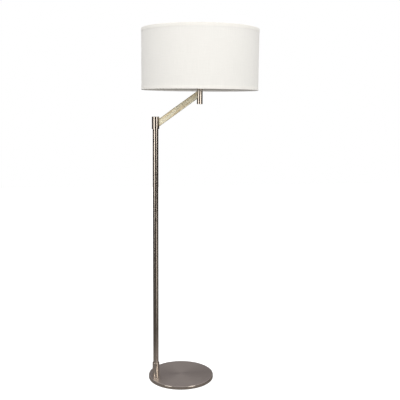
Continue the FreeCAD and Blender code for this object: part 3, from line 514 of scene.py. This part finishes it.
def plain_metal(name, colour, rough, grain_size, depth):
    """Machined or cast metal without a brushed direction."""
    finish = Finish(name, Metallic=1.0)
    grain = finish.noise(finish.object_place, 1 / grain_size, 4.0, 0.6)
    cloud = finish.noise(finish.object_place, 60.0, 2.0)
    worn = finish.edges(0.6 * MM)
    tone = finish.blend(grain, shade_of(colour, 0.85), shade_of(colour, 1.1))
    edged = finish.blend(finish.math("MULTIPLY", worn, 0.6), tone, shade_of(colour, 1.25))
    grainy = finish.spread(grain, rough - 0.06, rough + 0.08)
    cloudy = finish.math("ADD", grainy, finish.spread(cloud, -0.04, 0.04))
    return finish.paint(edged, cloudy, finish.relief(grain, depth, 0.5))


# ---------------------------------------------------------------- cloth, plastic and glass finishes

LINEN = (0.905, 0.890, 0.850)
HEM_LINEN = (0.945, 0.925, 0.875)     # paler, where the cloth lies double
# the white styrene lining painted grey: painted shade inside the drum
LINER_PAINTED_SHADE = (0.54, 0.515, 0.485)
WIRE_WHITE = (0.83, 0.82, 0.79)
RUBBER_BLACK = (0.022, 0.022, 0.023)
PHENOLIC_BLACK = (0.018, 0.017, 0.017)
NYLON_CREAM = (0.72, 0.70, 0.63)
FLEX_CREAM = (0.70, 0.67, 0.58)
FELT_DARK = (0.035, 0.035, 0.037, 1)
FELT_PALE = (0.085, 0.083, 0.082, 1)
CARD_DARK = (0.30, 0.20, 0.115, 1)
CARD_PALE = (0.44, 0.31, 0.19, 1)
FROST_DIM = (0.90, 0.89, 0.87, 1)
FROST_BRIGHT = (0.96, 0.95, 0.93, 1)
THREAD = 0.85 * MM                    # from one thread of the weave to the next
# how many times a metre the slubs vary: round the shade, up it, and from one slice to another
LEVEL_SLUBS = (18, 620, 1)
UPRIGHT_SLUBS = (560, 14, 1)
LEVEL_SLICE = 0.0
UPRIGHT_SLICE = 4.0


def round_the_shade(finish):
    """A surface point's distance run round the shade, and its height."""
    x, y, z = finish.axes()
    angle = finish.math("ARCTAN2", finish.math("SUBTRACT", y, SHADE.y), finish.math("SUBTRACT", x, SHADE.x))
    return finish.math("MULTIPLY", angle, half_width("shade_fabric")), z


def woven(finish, along, up, pitch):
    """The height of a plain weave, from 0 to 1: each thread rises where it passes over another."""
    half = math.pi / pitch
    warp = finish.math("SINE", finish.math("MULTIPLY", along, half))
    weft = finish.math("SINE", finish.math("MULTIPLY", up, half))
    over = finish.spread(finish.math("MULTIPLY", warp, weft), 0.0, 1.0, -1.0, 1.0)
    warp_crown = finish.math("SUBTRACT", 1.0, finish.math("ABSOLUTE", warp))
    weft_crown = finish.math("SUBTRACT", 1.0, finish.math("ABSOLUTE", weft))
    upper = finish.math("MULTIPLY", warp_crown, over)
    lower = finish.math("MULTIPLY", weft_crown, finish.math("SUBTRACT", 1.0, over))
    return finish.math("MAXIMUM", upper, lower)


def linen(name, colour):
    """Off-white linen: a plain weave with slubs both ways and a soft bloom, with painted shade between the
    threads.
    """
    finish = Finish(name, Sheen_Weight=0.12, Sheen_Roughness=0.45, Specular_IOR_Level=0.25)
    along, up = round_the_shade(finish)
    weave = woven(finish, along, up, THREAD)
    level_slubs = finish.streaks((along, up, LEVEL_SLICE), LEVEL_SLUBS, 2.0, 0.6)
    upright_slubs = finish.streaks((along, up, UPRIGHT_SLICE), UPRIGHT_SLUBS, 2.0, 0.6)
    slubs = finish.math("MULTIPLY", finish.math("ADD", level_slubs, upright_slubs), 0.5)
    faded = finish.noise(finish.object_place, 5.0, 2.0)
    slubby = finish.spread(slubs, 0.0, 1.0, 0.35, 0.68)
    cloth = finish.blend(slubby, shade_of(colour, 0.955), shade_of(colour, 1.02))
    mottled = finish.blend(finish.spread(faded, 0.0, 0.30, 0.4, 0.75), cloth, shade_of(colour, 0.975))
    # painted shade: the weave's low places darkened, as shade between the threads
    threads_with_painted_shade = finish.blend(finish.spread(weave, 0.16, 0.0, 0.1, 0.8), mottled, shade_of(colour, 0.80))
    fibres = finish.relief(weave, 0.10 * MM, 0.55)
    lumpy = finish.relief(slubs, 0.12 * MM, 0.5, fibres)
    return finish.paint(threads_with_painted_shade, finish.spread(slubs, 0.82, 0.97), lumpy)


def lining(name):
    """Styrene lining, smooth with a slight orange peel, its white painted grey as painted shade inside the
    drum.
    """
    finish = Finish(name, Specular_IOR_Level=0.35)
    peel = finish.noise(finish.object_place, 420.0, 2.0)
    cloud = finish.noise(finish.object_place, 7.0, 2.0)
    cloudy = finish.spread(cloud, 0.0, 1.0, 0.35, 0.65)
    tone = finish.blend(cloudy, shade_of(LINER_PAINTED_SHADE, 0.96), shade_of(LINER_PAINTED_SHADE, 1.02))
    return finish.paint(tone, finish.spread(peel, 0.50, 0.64), finish.relief(peel, 0.03 * MM, 0.4))


def painted_wire(name, colour):
    """Thick white paint on wire, slightly lumpy."""
    finish = Finish(name, Coat_Weight=0.15, Coat_Roughness=0.3)
    lumps = finish.noise(finish.object_place, 350.0, 2.0)
    grime = finish.spread(finish.noise(finish.object_place, 30.0, 3.0), 0.0, 1.0, 0.45, 0.8)
    tone = finish.blend(grime, shade_of(colour, 1.0), shade_of(colour, 0.86))
    return finish.paint(tone, finish.spread(lumps, 0.34, 0.5), finish.relief(lumps, 0.02 * MM, 0.25))


def moulded(name, colour, rough, grain_size, depth):
    """Moulded plastic or rubber with a fine spark-eroded grain."""
    finish = Finish(name)
    grain = finish.noise(finish.object_place, 1 / grain_size, 2.0)
    rubbed = finish.noise(finish.object_place, 90.0, 3.0)
    worn = finish.edges(0.5 * MM)
    tone = finish.blend(rubbed, shade_of(colour, 0.85), shade_of(colour, 1.15))
    edged = finish.blend(finish.math("MULTIPLY", worn, 0.35), tone, shade_of(colour, 1.7))
    dulled = finish.spread(rubbed, rough - 0.07, rough + 0.07)
    return finish.paint(edged, dulled, finish.relief(grain, depth, 0.5))


def felt(name):
    """Dark grey felt: tangled fibres, quite matt."""
    finish = Finish(name, Sheen_Weight=0.4, Sheen_Roughness=0.6, Specular_IOR_Level=0.1)
    clumps = finish.noise(finish.object_place, 260.0, 5.0, 0.7)
    fibres = finish.noise(finish.object_place, 1800.0, 3.0, 0.7)
    tone = finish.blend(clumps, FELT_DARK, FELT_PALE)
    fuzz = finish.relief(fibres, 0.15 * MM, 0.7)
    return finish.paint(tone, finish.spread(clumps, 0.88, 1.0), finish.relief(clumps, 0.4 * MM, 0.6, fuzz))


def card(name):
    """Brown insulating card."""
    finish = Finish(name, Specular_IOR_Level=0.3)
    pulp = finish.noise(finish.object_place, 900.0, 4.0, 0.65)
    tone = finish.blend(pulp, CARD_DARK, CARD_PALE)
    return finish.paint(tone, finish.spread(pulp, 0.75, 0.92), finish.relief(pulp, 0.05 * MM, 0.5))


def frosted_glass(name):
    """The bulb's white frosted envelope, with a slightly uneven coating."""
    finish = Finish(name, Transmission_Weight=0.08, IOR=1.5, Coat_Weight=0.3, Coat_Roughness=0.12)
    coating = finish.noise(finish.object_place, 45.0, 3.0)
    dust = finish.noise(finish.object_place, 1500.0, 2.0)
    tone = finish.blend(coating, FROST_DIM, FROST_BRIGHT)
    return finish.paint(tone, finish.spread(coating, 0.30, 0.48), finish.relief(dust, 0.02 * MM, 0.3))


# ---------------------------------------------------------------- turned and rolled pieces

SEAM_ANGLE = math.radians(90)         # the glued seams are at the back
SMOOTH_BELOW = math.radians(38)       # edges that turn by less are shaded as one surface


def swept(name, section, steps, span=FULL_TURN, axis=POST):
    """A shell made by carrying section(turn), a closed loop of (radius, height), round an upright axis."""
    shape = bmesh.new()
    whole = span == FULL_TURN
    rings = []
    for step in range(steps if whole else steps + 1):
        turn = span * step / steps
        c, s = math.cos(turn + SEAM_ANGLE), math.sin(turn + SEAM_ANGLE)
        rings.append([shape.verts.new((axis.x + r * c, axis.y + r * s, z)) for r, z in section(turn)])
    pairs = list(zip(rings, rings[1:]))
    if whole:
        pairs.append((rings[-1], rings[0]))
    else:
        shape.faces.new(rings[0])
        shape.faces.new(rings[-1])
    for here, there in pairs:
        for corners in zip(here, here[1:] + here[:1], there[1:] + there[:1], there):
            shape.faces.new(corners)
    return finished_mesh(name, shape)


def finished_mesh(name, shape):
    """Cleans a shape up, smooths all but its sharp edges and puts it in the scene."""
    bmesh.ops.remove_doubles(shape, verts=shape.verts, dist=0.001 * MM)
    bmesh.ops.recalc_face_normals(shape, faces=shape.faces)
    for face in shape.faces:
        face.smooth = True
    mesh = bpy.data.meshes.new(name)
    shape.to_mesh(mesh)
    shape.free()
    mesh.set_sharp_from_angle(angle=SMOOTH_BELOW)
    return link_object(name, mesh)


def even_heights(low, high, spacing):
    """Levels from low to high at about that spacing."""
    count = max(1, round((high - low) / spacing))
    return [low + (high - low) * level / count for level in range(count + 1)]


def dress(made, material, body, replaced):
    """A finished piece takes its material and slot, moves with a body and stands for a CAD node."""
    made.data.materials.append(material)
    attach(made, body)
    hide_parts(replaced)


# ---------------------------------------------------------------- the shade

OVERLAP = 12 * MM                     # how much of a strip's end is glued over its start
CLOTH = 0.35 * MM                     # the cloth's thickness
LINING = 0.28 * MM                    # the lining's thickness
CLOTH_GAP = 0.05 * MM                 # the cloth's inside, out from the CAD lining's outside
LINING_INSET = 0.6 * MM               # the lining's inside, in from the same
HEM = 14 * MM                         # how far the hem reaches up the drum's outside
HEM_PROUD = 0.62 * CLOTH              # how far the middle of the hem stands out of the drum
HEM_WRAP = 0.7 * CLOTH                # how far the middle of the hem is from the wire it goes round
RIM = 0.6 * MM                        # how far the cloth and lining stop short of the fold
LEVEL_SPACING = 12 * MM
DRUM_STEPS = 720
UNEVENNESS = 0.18 * MM                # how far the cloth strays from a true drum
WAVES_ROUND = 2.2
WAVES_UP = 5.0

# the fold's corner: how far in from the hem's face and how far above the drum's edge
FOLD_CORNER = ((0, 1.3), (0.12, 0.75), (0.5, 0.36), (1.3, 0.24))
WRAP_DEGREES = range(-90, -290, -20)  # round the wire, from the drum's edge up its inner side


def rolled(name, outline, radius, lap):
    """A strip rolled into a drum, its end glued over its start and raised by lap."""
    overlap = OVERLAP / radius
    span = FULL_TURN + overlap

    def section(turn):
        over = min(1.0, max(0.0, (turn - FULL_TURN + overlap) / overlap))
        rise = lap * over * over * (3 - 2 * over)
        return [(r + rise + drum_wave(turn, z), z) for r, z in outline]

    return swept(name, section, DRUM_STEPS, span, axis=SHADE)


def drum_wave(turn, z):
    """How far the stretched cloth strays from a true drum, the same for every layer."""
    place = Vector((WAVES_ROUND * math.cos(turn), WAVES_ROUND * math.sin(turn), WAVES_UP * z))
    return UNEVENNESS * noise.noise(place)


def wall(inner, thickness, low, high):
    """The outline of an upright wall, cut into levels."""
    levels = even_heights(low, high, spacing=LEVEL_SPACING)
    return [(inner + thickness, z) for z in levels] + [(inner, z) for z in reversed(levels)]


def ribbon(line, thickness):
    """The outline of a strip of that thickness along a line of (radius, height) places."""
    one_side, other_side = [], []
    for index, here in enumerate(line):
        before = Vector(line[max(index - 1, 0)])
        after = Vector(line[min(index + 1, len(line) - 1)])
        along = (after - before).normalized()
        across = Vector((-along.y, along.x)) * thickness / 2
        one_side.append(tuple(Vector(here) + across))
        other_side.append(tuple(Vector(here) - across))
    return one_side + other_side[::-1]


def hem_line(edge, inward, ring):
    """The fold of a hem: down its outer face, under the drum's edge, round the ring and back to the
    lining. inward is 1 for the bottom hem, where the drum is above the edge, and -1 for the top one."""
    low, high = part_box(ring)
    wire = (high.z - low.z) / 2
    ring_radius = (high.y - low.y) / 2 - wire
    ring_level = (low.z + high.z) / 2
    face = half_width("shade_fabric") + HEM_PROUD
    turn_radius = wire + HEM_WRAP
    line = [(face, edge + inward * HEM * share) for share in (1, 0.75, 0.5, 0.25)]
    line += [(face - inset * MM, edge + inward * rise * MM) for inset, rise in FOLD_CORNER]
    for degrees in WRAP_DEGREES:
        angle = math.radians(degrees)
        level = ring_level + inward * turn_radius * math.sin(angle)
        line.append((ring_radius + turn_radius * math.cos(angle), level))
    return line


def build_shade(finishes):
    """The rolled cloth over its rolled lining, with both edges folded round the rings."""
    low, high = heights("shade_fabric")
    outside = half_width("shade_fabric")
    bottom_hem = rolled("hem_bottom", ribbon(hem_line(low, 1, "bottom_ring"), CLOTH), outside, lap=0)
    top_hem = rolled("hem_top", ribbon(hem_line(high, -1, "top_ring"), CLOTH), outside, lap=0)
    fabric = half_width("shade_liner") + CLOTH_GAP
    cloth_wall = wall(fabric, CLOTH, low + RIM, high - RIM)
    cloth = rolled("shade_cloth", cloth_wall, fabric, lap=CLOTH)
    lining_radius = half_width("shade_liner") - LINING_INSET
    lining_wall = wall(lining_radius, LINING, low + RIM, high - RIM)
    liner = rolled("shade_lining", lining_wall, lining_radius, lap=LINING)
    dress(bottom_hem, finishes["hem_linen"], "shade", "bottom_trim")
    dress(top_hem, finishes["hem_linen"], "shade", "top_trim")
    dress(cloth, finishes["linen"], "shade", "shade_fabric")
    dress(liner, finishes["lining"], "shade", "shade_liner")


# ---------------------------------------------------------------- lamp holder, bulb and finial

THREAD_PITCH = 3.63 * MM              # 7 turns to the inch, the standard lamp screw
THREAD_SPACING = 0.3 * MM             # from one level of its mesh to the next
PIPE_PITCH = 0.94 * MM                # 27 turns to the inch, the standard lamp pipe
PIPE_DEPTH = 0.5 * MM

HOLDER_WALL = 0.5 * MM
HOLDER_INSET = 0.6 * MM               # how far the plain wall lies inside the shell's widest place
FOOT_TUCK = 1.3 * MM                  # the rolled foot
FOOT_TALL = 4 * MM
BEAD_LEVELS = (0.52, 0.60)            # shares of the shell's height
BEAD_RISE = 0.55 * MM
BEAD_WIDTH = 0.8 * MM
FLARE = 0.5 * MM                      # the flared mouth
FLARE_TALL = 2 * MM
SHAFT_HOLE = 3.4 * MM                 # the radius of the hole for the switch's shaft
FERRULE_SLACK = 0.08 * MM             # the ferrules slide this far clear of the harp's wire

# half of the finial's and of a ferrule's section: shares of its radius and of its height
FINIAL_OUTLINE = [
    (0.70, 0), (0.765, 0.02), (0.765, 0.09), (0.70, 0.12), (0.62, 0.16), (0.55, 0.21),
    (0.53, 0.27), (0.55, 0.33), (0.66, 0.40), (0.86, 0.46), (0.96, 0.49), (0.96, 0.52),
    (0.985, 0.54), (0.985, 0.60), (0.985, 0.66), (0.985, 0.72), (0.96, 0.74), (0.96, 0.77),
    (0.90, 0.83), (0.76, 0.90), (0.52, 0.96), (0.25, 0.992), (0, 1),
]
FERRULE_OUTLINE = [
    (0.86, 0), (0.97, 0.03), (1, 0.07), (0.97, 0.11), (0.88, 0.15), (0.88, 0.5),
    (0.88, 0.80), (0.96, 0.83), (1, 0.88), (0.97, 0.93), (0.88, 0.97), (0.76, 1),
]
FINIAL_BORE_TOP = 0.82
STUD_CORE = 0.36                      # the thread's core, as a share of the stud's widest place
KNURLS = 48
KNURL_DEPTH = 0.014                   # as a share of the finial's radius
KNURLED_BAND = (0.535, 0.725)         # shares of the finial's height
KNURLED_FROM = 0.98                   # the share of the radius outside which it is knurled

FELT_RAGGED = 0.35 * MM
FELT_RAGS = 40                        # how fast the ragged edge varies round the pad
FELT_EDGE = 0.5 * MM


def screw_wave(turn, z, pitch):
    """From 0 at a thread's root to 1 at its crest."""
    return 0.5 + 0.5 * math.cos(FULL_TURN * z / pitch - turn)


def rolled_thread(name, node, thickness, depth, plain):
    """A thin shell with a rolled screw thread, plain for a little at each end."""
    low, high = heights(node)
    radius = half_width(node)
    levels = even_heights(low, high, spacing=THREAD_SPACING)

    def ease(z):
        return min(1.0, (z - low) / plain, (high - z) / plain)

    def section(turn):
        outer = [(radius - depth * ease(z) * (1 - screw_wave(turn, z, THREAD_PITCH)), z) for z in levels]
        return outer + [(r - thickness, z) for r, z in reversed(outer)]

    return swept(name, section, steps=72)


def cut_pipe_thread(name, node, bore):
    """The hollow threaded pipe that holds the lamp holder on the post."""
    low, high = heights(node)
    radius = half_width(node)
    levels = even_heights(low, high, spacing=PIPE_PITCH / 5)

    def section(turn):
        outer = [(radius - PIPE_DEPTH * (1 - screw_wave(turn, z, PIPE_PITCH)), z) for z in levels]
        return outer + [(bore, high), (bore, low)]

    return swept(name, section, steps=40)


def holder_shell(name):
    """The pressed metal shell of the lamp holder: a rolled foot, two beads and a flared mouth."""
    low, high = heights("socket_shell")
    plain = half_width("socket_shell") - HOLDER_INSET
    beads = [low + share * (high - low) for share in BEAD_LEVELS]

    def profile(z):
        foot = FOOT_TUCK * max(0.0, 1 - (z - low) / FOOT_TALL) ** 2
        bead = sum(BEAD_RISE * math.exp(-((z - level) / BEAD_WIDTH) ** 2) for level in beads)
        flare = FLARE * max(0.0, 1 - (high - z) / FLARE_TALL)
        return plain - foot + bead + flare

    outer = [(profile(z), z) for z in even_heights(low, high, spacing=0.5 * MM)]
    outline = outer + [(r - HOLDER_WALL, z) for r, z in reversed(outer)]
    shell = swept(name, lambda turn: outline, steps=96)
    drill_front(shell, "switch_knob", SHAFT_HOLE)
    return shell


def drill_front(piece, shaft, radius):
    """A round hole through a piece's front wall, where the shaft comes out towards -Y."""
    low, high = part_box(shaft)
    laid = Matrix.Translation(middle(shaft)) @ Matrix.Rotation(math.radians(90), 4, "X")
    shape = bmesh.new()
    bmesh.ops.create_cone(shape, cap_ends=True, segments=40, radius1=radius, radius2=radius,
                          depth=high.y - low.y, matrix=laid)
    mesh = bpy.data.meshes.new("drill")
    shape.to_mesh(mesh)
    shape.free()
    cutter = link_object("drill", mesh)
    cut = piece.modifiers.new("hole", "BOOLEAN")
    cut.object = cutter
    cut.operation = "DIFFERENCE"
    seen = piece.evaluated_get(bpy.context.evaluated_depsgraph_get())
    piece.data = bpy.data.meshes.new_from_object(seen)
    piece.modifiers.clear()
    bpy.data.objects.remove(cutter)


def turned_finial(name):
    """A turned finial: a foot, a waist and a knob with a knurled band."""
    low, high = heights("finial")
    radius = half_width("finial")
    bore = half_width("harp_stud") * STUD_CORE / radius
    bored = [(0, FINIAL_BORE_TOP), (bore, FINIAL_BORE_TOP)]
    band_low, band_high = KNURLED_BAND

    def section(turn):
        ring = []
        for share, level in [(bore, 0)] + FINIAL_OUTLINE + bored:
            if band_low < level < band_high and share > KNURLED_FROM:
                share += KNURL_DEPTH * math.cos(KNURLS * turn)
            ring.append((share * radius, low + level * (high - low)))
        return ring

    return swept(name, section, steps=6 * KNURLS)


def beaded_ferrule(name, node):
    """A ferrule with a rounded bead at each end and a plain waist."""
    low, high = heights(node)
    radius = half_width(node)
    bore = (half_width("harp") + FERRULE_SLACK) / radius
    outline = [(bore, 0)] + FERRULE_OUTLINE + [(bore, 1)]
    ring = [(share * radius, low + level * (high - low)) for share, level in outline]
    return swept(name, lambda turn: ring, steps=48, axis=middle(node))


def soft_pad(name):
    """The felt under the base, its cut edge slightly ragged."""
    low, high = heights("felt_pad")
    radius = half_width("felt_pad")

    def section(turn):
        place = Vector((FELT_RAGS * math.cos(turn), FELT_RAGS * math.sin(turn), 0))
        rim = radius - FELT_RAGGED * abs(noise.noise(place))
        lower = [(0, low), (0.5 * rim, low), (rim - FELT_EDGE, low), (rim, low + FELT_EDGE)]
        upper = [(rim, high - FELT_EDGE), (rim - FELT_EDGE, high), (0.5 * rim, high), (0, high)]
        return lower + upper

    return swept(name, section, steps=480, axis=middle("felt_pad"))


def build_fittings(finishes):
    """The small pieces whose threads, beads and knurls the CAD leaves plain."""
    cap = rolled_thread("bulb_cap_threaded", "bulb_screw_base",
                        thickness=0.3 * MM, depth=0.9 * MM, plain=3 * MM)
    dress(cap, finishes["aluminium"], "head", "bulb_screw_base")
    shell = rolled_thread("screw_shell_threaded", "screw_shell",
                          thickness=0.35 * MM, depth=0.35 * MM, plain=1 * MM)
    dress(shell, finishes["brass"], "head", "screw_shell")
    pipe = cut_pipe_thread("lamp_pipe_threaded", "threaded_nipple", bore=3.4 * MM)
    dress(pipe, finishes["steel"], "head", "threaded_nipple")
    holder = holder_shell("socket_shell_beaded")
    dress(holder, finishes["short_tubes"], "head", "socket_shell")
    dress(turned_finial("finial_knurled"), finishes["short_tubes"], "finial", "finial")
    for side in ("left", "right"):
        ferrule = beaded_ferrule(f"ferrule_{side}_beaded", f"harp_ferrule_{side}")
        dress(ferrule, finishes["short_tubes"], f"ferrule_{side}", f"harp_ferrule_{side}")
    dress(soft_pad("felt_pad_cut"), finishes["felt"], "stand", "felt_pad")


# ---------------------------------------------------------------- dressing everything

def finishes_by_name():
    """Every finish the lamp uses."""
    return {
        "tubes": brushed("satin_nickel_tube", NICKEL, rough=0.19, stretch=0.80, across_grain=up_the_piece),
        "short_tubes": brushed("satin_nickel_short_tube", NICKEL, rough=0.11, stretch=0.75,
                               across_grain=up_the_piece),
        "spun": brushed("satin_nickel_spun", NICKEL, rough=0.31, stretch=0.75,
                        across_grain=out_from_centre, rim=half_width("base_cover") - RIM_START),
        "bar": satin_bar("satin_nickel_bar"),
        "small": plain_metal("satin_nickel_small", NICKEL,
                             rough=0.27, grain_size=0.35 * MM, depth=0.003 * MM),
        "steel": plain_metal("zinc_plated_steel", STEEL,
                             rough=0.34, grain_size=0.5 * MM, depth=0.02 * MM),
        "iron": plain_metal("cast_iron_rough", IRON,
                            rough=0.72, grain_size=1.4 * MM, depth=0.25 * MM),
        "brass": plain_metal("spun_brass", BRASS,
                             rough=0.26, grain_size=0.4 * MM, depth=0.01 * MM),
        "aluminium": plain_metal("bulb_aluminium", ALUMINIUM,
                                 rough=0.36, grain_size=0.5 * MM, depth=0.015 * MM),
        "wire": painted_wire("white_wire_paint", WIRE_WHITE),
        "rubber": moulded("black_rubber", RUBBER_BLACK,
                          rough=0.72, grain_size=0.30 * MM, depth=0.05 * MM),
        "nylon": moulded("natural_nylon", NYLON_CREAM,
                         rough=0.48, grain_size=0.40 * MM, depth=0.03 * MM),
        "plastic": moulded("black_phenolic", PHENOLIC_BLACK,
                           rough=0.33, grain_size=0.35 * MM, depth=0.02 * MM),
        "flex": moulded("cream_flex", FLEX_CREAM,
                        rough=0.50, grain_size=0.50 * MM, depth=0.03 * MM),
        "felt": felt("grey_felt"),
        "card": card("brown_card"),
        "glass": frosted_glass("bulb_frost"),
        "linen": linen("shade_linen", LINEN),
        "hem_linen": linen("shade_linen_hem", HEM_LINEN),
        "lining": lining("styrene_lining"),
    }


DRESSED = {
    "tubes": ("foot_collar", "lower_pole", "upper_pole", "swivel_sleeve", "sleeve_cap"),
    "short_tubes": ("post_tube", "post_bottom_cap", "post_seat", "socket_cap", "harp_stud"),
    "spun": ("base_cover",),
    "bar": ("arm_bar",),
    "small": ("harp", "harp_saddle"),
    "steel": ("base_screws", "foot_plug", "collar_grub_screw", "pole_coupler", "stop_pin", "swivel_spigot",
              "retaining_ring"),
    "iron": ("base_weight",),
    "brass": ("centre_contact",),
    "wire": ("top_ring", "bottom_ring", "spider"),
    "rubber": ("cord_grommet",),
    "nylon": ("upper_bush", "lower_bush"),
    "plastic": ("switch_block", "switch_knob", "bulb_tip"),
    "flex": ("stand_wire", "head_wire"),
    "card": ("socket_liner",),
    "glass": ("bulb_globe",),
}


def dress_nodes(finishes):
    """The CAD nodes that are shown as they are take their finishes."""
    for finish, names in DRESSED.items():
        for name in names:
            for place in nodes[name].material_slots:
                place.material = finishes[finish]


bpy.context.scene.view_settings.view_transform = "Standard"
add_camera()
add_world()
add_lights()
add_floor()
finishes = finishes_by_name()
build_shade(finishes)
build_fittings(finishes)
dress_nodes(finishes)
